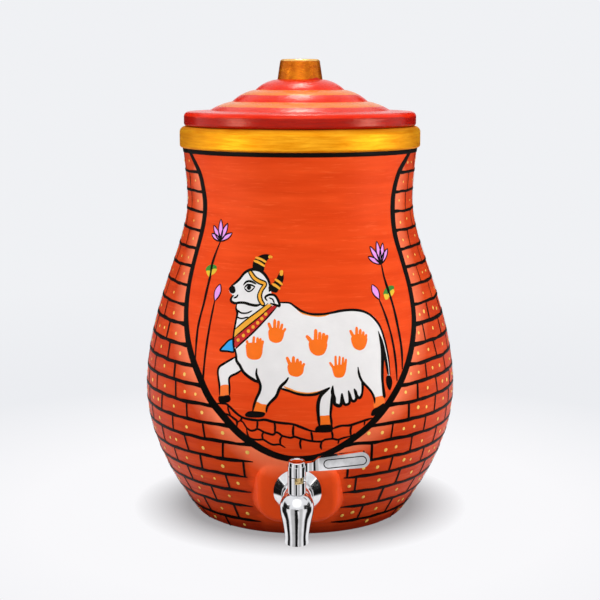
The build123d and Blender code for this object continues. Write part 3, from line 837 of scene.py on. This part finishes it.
OUTLINES = (
    (1.6, (42.8, 44.1), (49.5, 44.5), (54, 47.5), (58.5, 50.5), (65, 52.6), (73, 53), (81, 51.8),
     (89, 50.2), (97, 49.6), (104, 50.4), (110, 52.9), (115, 57.3), (118.8, 63), (121.3, 70), (123.4, 78),
     (125.2, 88), (126.2, 99)),
    (1.6, (101.2, 93.2), (101.9, 98), (104, 103.4), (108, 108), (111.5, 112.2), (113.7, 117),
     (114.2, 121)),
    (2.3, (79.3, 108.9), (75.5, 111.8), (72.5, 115.5), (71, 121), (70.9, 127), (71.4, 133), (71.9, 138)),
    (1.8, (82, 107.5), (82, 113), (81.2, 118.5), (80.8, 124), (80.4, 130), (81, 135), (81.3, 139)),
    (1.8, (42.5, 109), (46, 110), (50, 111.3), (55, 113.1), (62, 114.1), (69, 113.5), (75, 111),
     (79.5, 108.6)),
    (1.9, (48.5, 101), (46.5, 104), (43, 107.5), (41, 111.5), (39.3, 115.5), (35, 120), (32.7, 123.5),
     (32, 127.5)),
    (1.8, (24.8, 94.2), (24.5, 98), (26, 102.5), (27.6, 107), (26.8, 112), (24.5, 117), (22.8, 122),
     (21.7, 127)),
    (1.9, (8.2, 79.5), (9, 84), (9.3, 88), (12, 92), (14.5, 96.5), (19, 100.5), (24, 103.5), (27, 104.8)),
    (1.5, (8.6, 85.2), (4, 87.8), (-1, 90.8), (-4, 93), (-5.2, 96.4), (-4.8, 101.5), (-4, 107),
     (-3.8, 115)),
    (1.5, (13.6, 95), (9.5, 97.8), (5, 100), (3.5, 102.5), (3.9, 107.5), (3.9, 114.5)),
    (1.4, (9.3, 45), (8.7, 48.5), (9.8, 51.8), (8.8, 57), (8.1, 61), (7.2, 66), (6.7, 71), (6.9, 76),
     (8.2, 80.5)),
    (1, (9.3, 49.4), (12.5, 51.8), (17, 52), (21, 50.4)),
    (1, (8.9, 54.8), (13, 56.1), (18, 55)),
    (1.7, (28.5, 45), (24.5, 46.3), (20, 45.7), (15.5, 44.4), (11.5, 44.2), (7.6, 44.6), (5, 43.2),
     (4.7, 41.2), (5.6, 39.6), (6.6, 39)),
    (1.9, (5, 31.5), (8.3, 29.1), (11.8, 25.8), (14.5, 22.3), (18, 19.9), (22, 19), (26.5, 19.8),
     (30.3, 22.7), (33.2, 27), (34.6, 31.5), (34.2, 35.5)),
    (1.2, (6.8, 40.6), (9, 39.9), (10.1, 38.2)),
    (1.3, (14.4, 30.8), (16.3, 28.6), (19, 28), (21.6, 28.8), (24, 30.2)),
    (1.1, (15, 33), (17.2, 30.8), (20.3, 30.9), (23.2, 32.2)),
    (1, (15.2, 33.6), (18, 35.8), (20.8, 34.8), (23, 32.4)),
    (1.5, (32.4, 42.6), (31, 40.2), (34, 38.3), (38, 38.6), (40.6, 42), (42, 46.6), (38.5, 45.8),
     (35.2, 44.8)),
    (0.9, (34, 40.6), (36.6, 41.6), (38, 44.6)),
)
SOLID_BLACK = (
    ((3, 33.6), (4.6, 31.8), (7, 31.8), (8, 33.6), (8.1, 36), (6.4, 37.3), (4.2, 36.7)),
    ((21.8, 18.9), (21.5, 14.5), (23.5, 10.8), (28, 8.2), (32.5, 7.6), (35.6, 9.2), (33.8, 10.8),
     (31.5, 13.5), (30.3, 17), (29.7, 20.2), (25.5, 19.5)),
    ((33.7, 32), (36.5, 30), (39.3, 26.5), (41, 23.2), (42.6, 21), (44.6, 22.6), (45, 26), (43.8, 30),
     (41.5, 34), (39.5, 36.6), (36.2, 36), (33.9, 34.6)),
    ((123.6, 100.3), (126.3, 100.2), (127.9, 104), (127.5, 108.8), (126, 111.6), (123.9, 108.5),
     (122.9, 104)),
    ((116.8, 65.4), (118.8, 69), (120.8, 74), (122.4, 80), (123.8, 87), (124.8, 94), (125.2, 99.6),
     (124, 98.5), (122.6, 92), (121.6, 88), (121.2, 96), (121.2, 104), (122, 110), (122.8, 116.5),
     (120.6, 116.6), (119.6, 108), (119, 100), (119, 90), (118.8, 80), (117.8, 72)),
    ((-4.4, 116), (-1, 115.6), (3.6, 114.8), (4.8, 118.4), (2.6, 120.6), (-1, 121), (-3.8, 121),
     (-4.8, 118.6)),
    ((16.6, 128.6), (20.3, 127), (30.3, 127.8), (30.8, 130), (28, 131.9), (18.5, 132), (15.8, 130.7)),
    ((71.2, 138.3), (80.3, 137.8), (82.4, 141), (80.2, 143.7), (71, 143.9), (68.6, 142.2)),
    ((112.7, 126.4), (117, 124.2), (121.4, 121.6), (118.4, 128.2), (113.6, 131.3), (111.3, 130.6)),
)
UDDER_LINES = (
    (2.1, (82, 107.5), (81.6, 112), (83.2, 117), (83.4, 121), (87, 122.8), (88.6, 120.4), (88.8, 113.6)),
    (2, (89, 113.4), (89.8, 119), (91.5, 121.9), (94.6, 120.6), (94.8, 116), (94, 111.4)),
    (2, (94.2, 112), (95.8, 117.5), (98, 119.4), (100, 117), (99.4, 112.6), (98.4, 110)),
    (1.9, (98.6, 110.8), (100.2, 115), (102.4, 116.8), (104.2, 114), (104.8, 108), (104.2, 104.2)),
)
SHADING = (
    (2, (55.3, 49.2), (60, 52.1), (66, 53.6), (73, 54), (79, 53)),
    (1.9, (45.5, 107.8), (50, 109.8), (56, 112.1), (63, 113.1), (70, 112.3), (75, 110.4)),
)
ANKLETS = (
    ((-3.7, 108.2), (3.7, 107.2), (3.8, 115), (0.4, 115.8), (-3.4, 116)),
    ((24.3, 119.9), (28.5, 121.3), (32.6, 122.2), (31.7, 127.6), (27, 127.8), (21.9, 126.8)),
    ((71.5, 131.2), (76, 130.4), (80.6, 130.6), (80.9, 136.6), (76.5, 137.6), (71.9, 137.5)),
    ((114, 117.4), (117.5, 116), (120.7, 116), (122, 120.8), (118, 123.2), (113.6, 124.8)),
)
# Hand prints: the width of the fingers, the palm, and each finger from its foot to its tip
HANDS = (
    (2.6, ((16.8, 75.4), (16.6, 80), (17.4, 84.8), (20, 86.8), (23.5, 87.3), (27, 86.3), (28.8, 83),
           (29.3, 79), (29.4, 76), (26, 74.6), (21, 74.2)),
     ((18.2, 76, 17.3, 73.4), (22.2, 76, 22.6, 70.6), (25, 76, 25.4, 71.4), (27, 76, 27.5, 72),
      (28.4, 77, 29.3, 73.6))),
    (2.6, ((33.8, 64.8), (33.6, 69), (34.6, 72.4), (37.6, 74.2), (40.5, 74.4), (43.5, 73), (45.2, 69),
           (45.2, 65.8), (42, 63.4), (37, 63)),
     ((36, 65, 34, 60.2), (38.2, 65, 38.3, 57.6), (40.7, 65, 41.2, 58.8), (42.8, 65.4, 43.8, 61),
      (44, 67, 46, 64.2))),
    (2.9, ((64.2, 73.6), (64.2, 78), (65.8, 81.6), (69, 83.8), (72, 84.1), (75.4, 82.6), (77.4, 78.6),
           (77.7, 74.6), (74, 72.2), (68, 71.8)),
     ((66, 73.6, 62.8, 69.8), (69.1, 74, 69.2, 65.3), (72, 74, 72.3, 67.4), (74.6, 74, 75.1, 68.2),
      (76.2, 75, 77.6, 69.6))),
    (2.7, ((96, 70.6), (96.6, 75), (98.6, 78.6), (102.8, 80.2), (106.4, 78.2), (108.2, 73.6), (108, 70.2),
           (104, 68), (99, 68)),
     ((98, 70, 95.6, 65.8), (100.2, 71, 100.2, 63.4), (102.7, 71, 103.1, 65.2), (104.9, 71, 105.4, 67),
      (106.6, 72, 107.6, 69))),
    (2.6, ((48.2, 91.2), (48.2, 95), (49.6, 98.4), (52.6, 99.8), (56, 100), (59.4, 97.6), (60.3, 93.4),
           (60.2, 91.4), (56, 89.4), (51, 89)),
     ((50, 91, 47.8, 86), (52.3, 92, 52.5, 85.6), (54.9, 92, 55.4, 87.4), (57.1, 92, 57.8, 89),
      (58.8, 93, 60.2, 90.6))),
    (2.3, ((81.6, 93), (82.2, 97), (83.6, 100.2), (86.6, 101), (90, 100), (91.8, 96), (92, 92), (89, 91),
           (84.6, 91.2)),
     ((83, 94, 80.1, 89.8), (84.3, 93, 84.1, 85), (86.9, 93, 87.2, 85.2), (89.3, 93, 89.8, 86),
      (91, 94, 92, 87.4))),
)
STRAP = (
    (19.6, 21.3), (22.5, 25.5), (26.6, 28.3), (30.8, 30.2), (28.6, 34), (26.8, 38.5), (27.5, 42.5),
    (29.3, 45.2),
)
NECK_GOLD = (
    (8, 64.6), (16, 58), (25, 51.5), (33, 45.6), (35.5, 46.7), (27, 54.8), (18, 61.8), (8.4, 70.3),
    (7, 69),
)
NECK_RED = (
    (7.2, 71.2), (17, 63.2), (27, 55), (35.6, 47.2), (39.4, 47.5), (32, 55.6), (22, 66), (10.5, 77.4),
    (7.6, 77),
)
NECK_LINES = (
    (0.9, (7.4, 64.8), (16, 57.5), (25, 51), (33.2, 44.8)),
    (0.9, (7, 70.9), (17, 62.6), (27, 54.6), (36.2, 46.5)),
    (1.1, (8.4, 79.3), (13, 74.8), (22, 66.6), (32, 56.2), (39.8, 47.4)),
)
NECK_DOTS = ((10.6, 72.4), (14.6, 69), (18.4, 65.6), (22, 62.5), (25.4, 59.4), (28.6, 56.2), (31.6, 52.8))
HORN_BANDS = (
    (1.9, (22.8, 12.6), (26.2, 14), (30.4, 16.6)),
    (1.8, (24, 10.2), (27.8, 11.4), (31.2, 13.4)),
    (1.9, (37, 30.4), (39.6, 31.8), (42, 33.8)),
    (1.8, (39, 27), (41.6, 28.6), (43.8, 30.6)),
)
# Dots on the horns, each with its radius in millimetres
HORN_TIPS = (((34.4, 9.6), 1.3), ((35.6, 9.8), 1.1), ((43.3, 21.2), 1.6), ((43.3, 22.8), 1.4))
SCARF = ((7.2, 71.8), (3.5, 72.6), (0, 76), (-2.8, 79), (-3.2, 80.6), (2, 81), (7.2, 81.3), (6.8, 76))
COBBLES = (
    (1.7, (-5.6, 121.8), (-2, 121.6), (1.5, 122), (5, 125), (8.5, 128.5), (12.5, 131.5), (17, 133.3),
     (25, 134.3), (31, 133.8), (37, 135.3), (44, 136.3), (52, 137.2), (58, 139.5), (64, 142), (70, 143.5)),
    (1.7, (82, 141), (88, 138.8), (95, 138.5), (100, 137), (106, 135), (112, 133.2)),
    (1.5, (0, 129.4), (4, 131), (7.5, 133.5), (9.5, 135.5), (9.4, 139.5)),
    (1.5, (9.8, 136.6), (12, 135), (14.5, 136.5), (16.5, 140), (20, 142.8), (23.5, 142.2), (25, 141.3),
     (28, 142.5), (30, 143.8), (37, 145.8), (39, 143.8), (42, 145), (44, 146.7), (50.5, 148.3),
     (53, 147.3), (58, 149), (66, 151), (73.5, 151.5), (76, 150), (82, 149.3), (86, 150.2), (90, 148.8),
     (96, 147.3), (98.5, 145.5)),
    (1.4, (2.5, 123), (3, 127), (4.6, 130.8)),
    (1.4, (12.9, 131.5), (13, 133.6), (11.6, 135.4)),
    (1.5, (25.1, 134.4), (25.2, 138), (24.8, 141.5)),
    (1.5, (38, 135.4), (38.6, 139.5), (38.4, 143.9)),
    (1.5, (52.5, 138), (52.1, 142.6), (52.3, 147.4)),
    (1.5, (65.6, 143), (66.4, 147), (66.8, 151)),
    (1.5, (81.3, 143), (82, 146.5), (81.8, 149.5)),
    (1.5, (96.6, 138.6), (95.6, 142.5), (96, 147)),
    (1.4, (106.5, 135), (106.2, 138.6)),
    (1.4, (16.8, 140.6), (17.4, 145), (18.4, 148), (21, 149.8), (25.5, 150.3), (29.5, 150), (33, 152.3),
     (37, 154.2), (42, 154), (46, 156.5)),
    (1.4, (30, 143.8), (28.7, 146.5), (29.6, 150)),
    (1.4, (44, 146.7), (42.4, 150), (42.6, 154)),
    (1.4, (58.3, 149), (57.4, 153), (58.2, 157.6)),
    (1.4, (74, 151.4), (73, 155), (73.6, 158)),
    (1.3, (87, 150), (86.2, 153.4)),
)
# Lotuses and their buds: where the petals meet, and the petals' tips
FLOWERS = (
    ((-4.4, -2.4), ((-11.4, -8.6), (5.2, -9), (-9.8, -15), (1.6, -16.6), (-3.9, -19.8))),
    ((119.8, 15.4), ((109.6, 9.4), (125.4, 3.2), (111.2, 1.4), (121.6, -1.2), (116.6, -2.6))),
)
BUDS = (((-8.3, 43.3), ((-4, 30.2),)), ((118.2, 42), ((112.6, 30.6),)))
STEMS = (
    (1.9, (-4.4, -2.2), (-8, 6.8), (-10.8, 15.2), (-11.9, 23), (-13.8, 31), (-17.3, 46.4), (-21.4, 63),
     (-23.4, 88)),
    (1.7, (-8.3, 43.4), (-11.5, 59.3), (-14.8, 79.9), (-16.8, 100), (-17, 106)),
    (2, (120.4, 15.8), (122, 24), (124.4, 32), (127, 39.6), (130, 50), (133, 64), (135.6, 79),
     (136.2, 95)),
    (1.7, (118.2, 42.2), (123.2, 55), (127.6, 70), (130.4, 86), (131.8, 104)),
)
LEAVES = (
    ((-16, 19), (-13.6, 16.2), (-10, 15.4), (-7, 17), (-8, 20.2), (-11, 22.6), (-14.4, 22)),
    ((121.4, 38), (123, 34), (126.6, 31.6), (130, 32), (129.6, 35), (126.6, 37), (123.6, 38.6)),
)
LEAF_TIPS = (
    ((-15.4, 20.6), (-12, 20.4), (-10.6, 23.2), (-13.4, 24.6)),
    ((-11.6, 20), (-8.6, 18.6), (-6.6, 19.2), (-8.4, 22), (-10.8, 23)),
    ((121.8, 38.2), (124.4, 38), (125.6, 41), (123, 42)),
    ((125, 37.8), (129, 34.2), (130.4, 35.8), (128.6, 39), (126.2, 40.4)),
)


LINE_WEIGHT = 1.25
STRAP_WIDTHS = (2.1, 4.4)
SCARF_LINE = 1.5
COLLAR_DOT_RADIUS = 1.45
PUPIL = (18.6, 32.8)
PUPIL_RADIUS = 2.0
PETAL_LINE = 1.1
PETAL_WIDTH = 1.7
BUD_WIDTH = 2.4
# Where a petal's points lie along it, and how wide it is there
PETAL_SHAPE = ((0.3, 0.8), (0.62, 1), (0.88, 0.5))


def petal(color, lines, base, tip, wide):
    """An almond from base to tip, with a dark outline."""
    base, tip = Vector(base), Vector(tip)
    across = (tip - base).orthogonal().normalized() * wide
    left, right = (
        [base, *(base.lerp(tip, share) + across * reach * side for share, reach in PETAL_SHAPE), tip]
        for side in (1, -1)
    )
    fill(color, left + right[-2:0:-1])
    brush(lines, PETAL_LINE, left)
    brush(lines, PETAL_LINE, right)


def paint_picture():
    """Lays the colours, light under dark."""
    white = paint_material("white_paint", (0.84, 0.81, 0.80), 0.95)
    fill_coat("cow_white", white, (TORSO, HEAD, EAR, TAIL, TUFTS), WHITE_LIFT).finish()

    orange = fill_coat("cow_orange", paint_material("orange_paint", (1.0, 0.17, 0.001), 0.92), ANKLETS)
    for width, palm, fingers in HANDS:
        fill(orange, palm)
        for foot_x, foot_y, tip_x, tip_y in fingers:
            middle = ((foot_x + tip_x) / 2, (foot_y + tip_y) / 2)
            brush(orange, width, ((foot_x, foot_y), middle, (tip_x, tip_y)), 0.9)
    orange.finish()

    shade = Coat("cow_shading", paint_material("shading_paint", (0.97, 0.30, 0.03), 0.8), COLOR_LIFT)
    brush_all(shade, SHADING)
    shade.finish()

    gold = Coat("cow_gold", paint_material("ochre_paint", (0.96, 0.43, 0.025), 0.85), TOP_LIFT)
    brush(gold, STRAP_WIDTHS[0], STRAP, 0.9)
    brush_all(gold, HORN_BANDS, taper=0.8)
    for point, radius in HORN_TIPS:
        blob(gold, point, radius)
    for point in NECK_DOTS:
        blob(gold, point, COLLAR_DOT_RADIUS)
    gold.finish()

    red = paint_material("red_paint", (0.60, 0.012, 0.012), 0.8)
    blue = paint_material("blue_paint", (0.012, 0.36, 0.83), 0.9)
    for name, paint, shape in (
        ("cow_collar", gold.paint, NECK_GOLD),
        ("cow_red", red, NECK_RED),
        ("cow_scarf", blue, SCARF),
    ):
        fill_coat(name, paint, (shape,)).finish()

    lines = fill_coat("picture_lines", black, SOLID_BLACK, BLACK_LIFT)
    brush_all(lines, OUTLINES + UDDER_LINES + NECK_LINES + COBBLES + STEMS, LINE_WEIGHT)
    brush(lines, SCARF_LINE, SCARF, closed=True)
    brush(lines, STRAP_WIDTHS[1], STRAP, 0.95)
    blob(lines, PUPIL, PUPIL_RADIUS)

    pink = Coat("lotus_petals", paint_material("pink_paint", (0.86, 0.33, 0.84), 0.9), COLOR_LIFT)
    for wide, plants in ((PETAL_WIDTH, FLOWERS), (BUD_WIDTH, BUDS)):
        for base, tips in plants:
            for tip in tips:
                petal(pink, lines, base, tip, wide)
    pink.finish()
    lines.finish()

    green = paint_material("green_paint", (0.045, 0.24, 0.02), 0.8)
    fill_coat("leaf_green", green, LEAVES).finish()
    pale = paint_material("leaf_yellow_paint", (0.85, 0.56, 0.025), 0.85)
    fill_coat("leaf_tips", pale, LEAF_TIPS, LEAF_TIP_LIFT).finish()


paint_picture()


# Painted shade: a black line round the flat of the lever, standing in for the dark of its groove

STEM_CENTRE = Vector((0, -156.207, 44.604)) * MM
TAP_TILT = math.radians(6.5)
LEVER_FACE = 2.14 * MM
LEVER_MIDDLE = Vector((37.85, 38.575)) * MM
LEVER_SLOPE = Matrix.Rotation(math.radians(6.9), 2)
LEVER_LINE_STRAIGHT = 13.2 * MM
LEVER_LINE_RADII = (3.1 * MM, 3.9 * MM)
LEVER_LINE_CORNERS = 12


def add_lever_shade_line():
    """A flat black ribbon in the shape of a long ring, on the lever's front, as painted shade."""
    out = Vector((0, -math.cos(TAP_TILT), -math.sin(TAP_TILT)))
    up = Vector((0, -math.sin(TAP_TILT), math.cos(TAP_TILT)))
    corners = []
    for side in (1, -1):
        for number in range(LEVER_LINE_CORNERS + 1):
            turn = math.pi * (number / LEVER_LINE_CORNERS - 0.5)
            for radius in LEVER_LINE_RADII:
                bend = Vector((LEVER_LINE_STRAIGHT + radius * math.cos(turn), radius * math.sin(turn)))
                flat = LEVER_SLOPE @ (bend * side) + LEVER_MIDDLE
                corners.append(STEM_CENTRE + out * LEVER_FACE + Vector((flat.x, 0, 0)) + up * flat.y)
    count = len(corners)
    quads = [(k, k + 1, (k + 3) % count, (k + 2) % count) for k in range(0, count, 2)]
    piece = add_mesh("lever_shade_line", corners, quads, black)
    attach(piece, HANDLE)


add_lever_shade_line()


# Stage

BACKDROP = (0.87, 0.88, 0.905)
FLOOR_TONE = (0.95, 0.945, 0.965)
FAR_FLOOR = (0.84, 0.85, 0.88)
FLOOR_REACH = 30
NEAR_BLACK = (0.008, 0.008, 0.008)
WHITE = (1, 1, 1)
TAP_AXIS = Vector((0, -0.155, 0))
AIM = Vector((0, 0, 0.2))
GLOSS_FLOOR_REACH = 0.9
GLOSS_FLOOR_HEIGHT = 0.001
RING_DISTANCE = 0.5
RING_HEIGHT = 0.26
RING_PITCH = 15
CAMERA_DISTANCE = 1.2
CAMERA_HEIGHT = 0.38
CAMERA_TILT = math.radians(80.75)
CAMERA_LENS = 82.26


def around(turn, distance, height, centre=Vector()):
    """A point at an angle in degrees from the tap's side towards +X, round an upright line."""
    turn = math.radians(turn)
    return centre + Vector((distance * math.sin(turn), -distance * math.cos(turn), height))


def face_jar(thing, turn, distance, height):
    """Puts a lamp or a card at a place round the jar, turned towards it."""
    place = around(turn, distance, height)
    thing.location = place
    thing.rotation_euler = (AIM - place).to_track_quat("-Z", "Y").to_euler()


def level_corners(across, along):
    """The corners of a level rectangle that reaches so far from the origin."""
    return [(-across, -along, 0), (across, -along, 0), (across, along, 0), (-across, along, 0)]


def upright_corners(side, start, end, distance, height, centre=Vector()):
    """The corners of a card that stands on the floor between two angles, on one side of the tap."""
    corners = ((start, 0), (end, 0), (end, height), (start, height))
    return [around(side * turn, distance, up, centre) for turn, up in corners]


def add_lamp(name, turn, distance, height, size, power):
    """A soft box that lights the jar. Gloss doesn't show it."""
    data = bpy.data.lights.new(name, "AREA")
    data.shape = "RECTANGLE"
    data.size, data.size_y, data.energy = *size, power
    lamp = add_object(name, data)
    face_jar(lamp, turn, distance, height)
    lamp.visible_glossy = False


def add_sheet(name, corners, material):
    """A flat piece of the stage."""
    sheet = add_mesh(name, corners, [tuple(range(len(corners)))], material)
    return sheet


def add_card(name, corners, material):
    """A piece of the stage that only gloss shows."""
    card = add_sheet(name, corners, material)
    card.visible_camera = card.visible_diffuse = card.visible_shadow = card.visible_transmission = False
    return card


def add_floor():
    """A pale sheet that runs off into the backdrop's own tone, with painted shade: dark close round the
    jar.
    """
    tree = new_material("floor_paper", 0.9, gloss=0.1)
    distance = tree.length(tree.place)
    # Painted shade: the floor is dark near the jar, which darkens the jar's foot and the floor round it
    lit = tree.mix(tree.spread(distance, 0.11, 0.32), (0.26, 0.27, 0.28), (0.82, 0.84, 0.86))
    tree.drive("Base Color", lit)
    rays = tree.add("LightPath").outputs
    seen = tree.most(rays["Is Camera Ray"], rays["Is Glossy Ray"])
    paper = tree.mix(tree.spread(distance, 0.24, 0.5), FLOOR_TONE, FAR_FLOOR)
    paper = tree.mix(tree.spread(distance, 0.6, 1.3), paper, BACKDROP)
    share = tree.times(tree.spread(distance, 0.1, 0.15, 0.3, 1.0), seen)
    tree.show(tree.blend_shaders(share, tree.shader, tree.add("Emission", {"Color": paper})))
    add_sheet("floor", level_corners(FLOOR_REACH, FLOOR_REACH), tree.owner)


def show_glow(tree, share, color, strength=1.0):
    """Lets a share of a card glow, and leaves the rest clear."""
    glow = tree.add("Emission", {"Color": (*color, 1), "Strength": strength})
    tree.show(tree.blend_shaders(share, tree.add("BsdfTransparent"), glow))


def round_tap(tree):
    """The angle in degrees round the tap from its front, towards +X, and the distance from its axis."""
    turn, distance, _ = polar(tree, tree.vector("SUBTRACT", tree.place, TAP_AXIS)[0])
    return tree.math("DEGREES", turn), distance


def add_gloss_floor():
    """What the tap's chrome shows of the floor: white, with soft dark parts in front and at the sides."""
    tree = new_tree("gloss_floor")
    turn, distance = round_tap(tree)
    past_edge = tree.math("SUBTRACT", turn, tree.spread(distance, 0.34, 0.42, 12.0, -9.0))
    front = tree.times(tree.ease(turn, -21, -9), tree.ease(past_edge, 7, -5))
    across = tree.axes(tree.place)["X"]
    clear_of_lever = tree.most(tree.ease(across, 0.018, 0.006), tree.ease(distance, 0.14, 0.18))
    front = tree.times(tree.times(front, clear_of_lever), tree.ease(distance, 0.8, 0.62))
    off = tree.math("ABSOLUTE", turn)
    middle = tree.spread(distance, 0.04, 0.12, 66.0, 90.0)
    apart = tree.math("ABSOLUTE", tree.math("SUBTRACT", off, middle))
    apart = tree.math("SUBTRACT", apart, tree.spread(distance, 0.04, 0.1, 5.0, 16.0))
    flank = tree.times(tree.ease(apart, 12, 0), tree.within(distance, 0.02, 0.04, 0.3, 0.4))
    far_flank = tree.times(tree.within(off, 46, 54, 98, 110), tree.within(distance, 0.29, 0.33, 0.5, 0.52))
    dark = tree.most(front, tree.most(flank, far_flank))
    dark = tree.most(dark, tree.ease(tree.length(tree.place), 0.13, 0.1))
    grey = tree.times(tree.within(off, 12, 20, 32, 46), 0.55)
    tone = tree.mix(dark, tree.mix(grey, FLOOR_TONE, (0.2, 0.2, 0.2)), NEAR_BLACK)
    tree.show(tree.add("Emission", {"Color": tone}).outputs[0])
    corners = [around(turn, GLOSS_FLOOR_REACH, GLOSS_FLOOR_HEIGHT, TAP_AXIS) for turn in range(0, 360, 15)]
    add_card("gloss_floor", corners, tree.owner)


def add_gloss_ring():
    """A low dark band to the left and right of the tap, which only gloss shows."""
    tree = new_tree("gloss_ring")
    turn, _ = round_tap(tree)
    dark = tree.within(tree.math("ABSOLUTE", turn), 44, 54, 98, 110)
    show_glow(tree, tree.times(dark, tree.ease(tree.axes(tree.place)["Z"], 0.25, 0.17)), NEAR_BLACK)
    for side in (-1, 1):
        for start in range(40, 130, RING_PITCH):
            corners = upright_corners(side, start, start + RING_PITCH, RING_DISTANCE, RING_HEIGHT, TAP_AXIS)
            add_card("gloss_ring", corners, tree.owner)


def add_glow(name, turn, distance, height, size, strength):
    """The bright patch with soft edges that gloss shows in a lamp's place."""
    tree = new_tree(name)
    across, along = size[0] / 2, size[1] / 2
    off = tree.length(tree.vector("MULTIPLY", tree.place, (1 / across, 1 / along, 1))[0])
    show_glow(tree, tree.ease(off, 1.0, 0.1), WHITE, strength)
    face_jar(add_card(name, level_corners(across, along), tree.owner), turn, distance, height)


def add_cards():
    """What only gloss shows: dark cards behind the jar, the tap's surroundings, and soft bright patches."""
    tree = new_material("card_black", 0.9, gloss=0.0)
    tree.shader.inputs["Base Color"].default_value = (0.02, 0.02, 0.02, 1)
    for side in (-1, 1):
        add_card("card_behind", upright_corners(side, 118, 165, 1.5, 1.1), tree.owner)
    add_gloss_floor()
    add_gloss_ring()
    add_glow("glow_front", 1, 1.2, 0.95, (2.2, 2.2), 2.0)
    add_glow("glow_high", 180, 0.46, 1.5, (0.42, 0.36), 50.0)
    add_glow("glow_left", -60, 1.3, 0.22, (0.8, 0.6), 14.0)
    add_glow("glow_right", 68, 1.3, 0.22, (0.8, 0.6), 15.0)


def add_world():
    """Surroundings in the backdrop's tone, which light the jar only a little."""
    tree = Tree(bpy.data.worlds.new("studio"))
    bpy.context.scene.world = tree.owner
    tree.nodes.clear()
    rays = tree.add("LightPath").outputs
    seen = tree.most(rays["Is Camera Ray"], rays["Is Glossy Ray"])
    seen = tree.most(seen, rays["Is Transmission Ray"])
    lit = tree.add("Background", {"Color": (0.9, 0.92, 0.95, 1), "Strength": 0.2})
    shown = tree.add("Background", {"Color": (*BACKDROP, 1)})
    tree.add("OutputWorld", {"Surface": tree.blend_shaders(seen, lit, shown)})


def add_camera():
    """The camera, a little to the right of the tap."""
    data = bpy.data.cameras.new("camera")
    data.lens = CAMERA_LENS
    camera = add_object("camera", data)
    across, back = math.sin(VIEW_TURN), -math.cos(VIEW_TURN)
    camera.location = (CAMERA_DISTANCE * across, CAMERA_DISTANCE * back, CAMERA_HEIGHT)
    camera.rotation_euler = (CAMERA_TILT, 0, VIEW_TURN)
    bpy.context.scene.camera = camera


def studio():
    """Pale floor and backdrop, soft lamps, and the camera."""
    add_floor()
    add_cards()
    add_lamp("key", 4, 0.95, 1.45, (1.3, 1.1), 9)
    add_lamp("left", -66, 1.35, 0.66, (0.5, 0.9), 10)
    add_lamp("right", 70, 1.35, 0.5, (0.5, 0.9), 11)
    add_lamp("top", 180, 0.25, 1.6, (1.1, 0.9), 5)
    add_world()
    add_camera()


studio()
bpy.context.scene.view_settings.view_transform = "Standard"
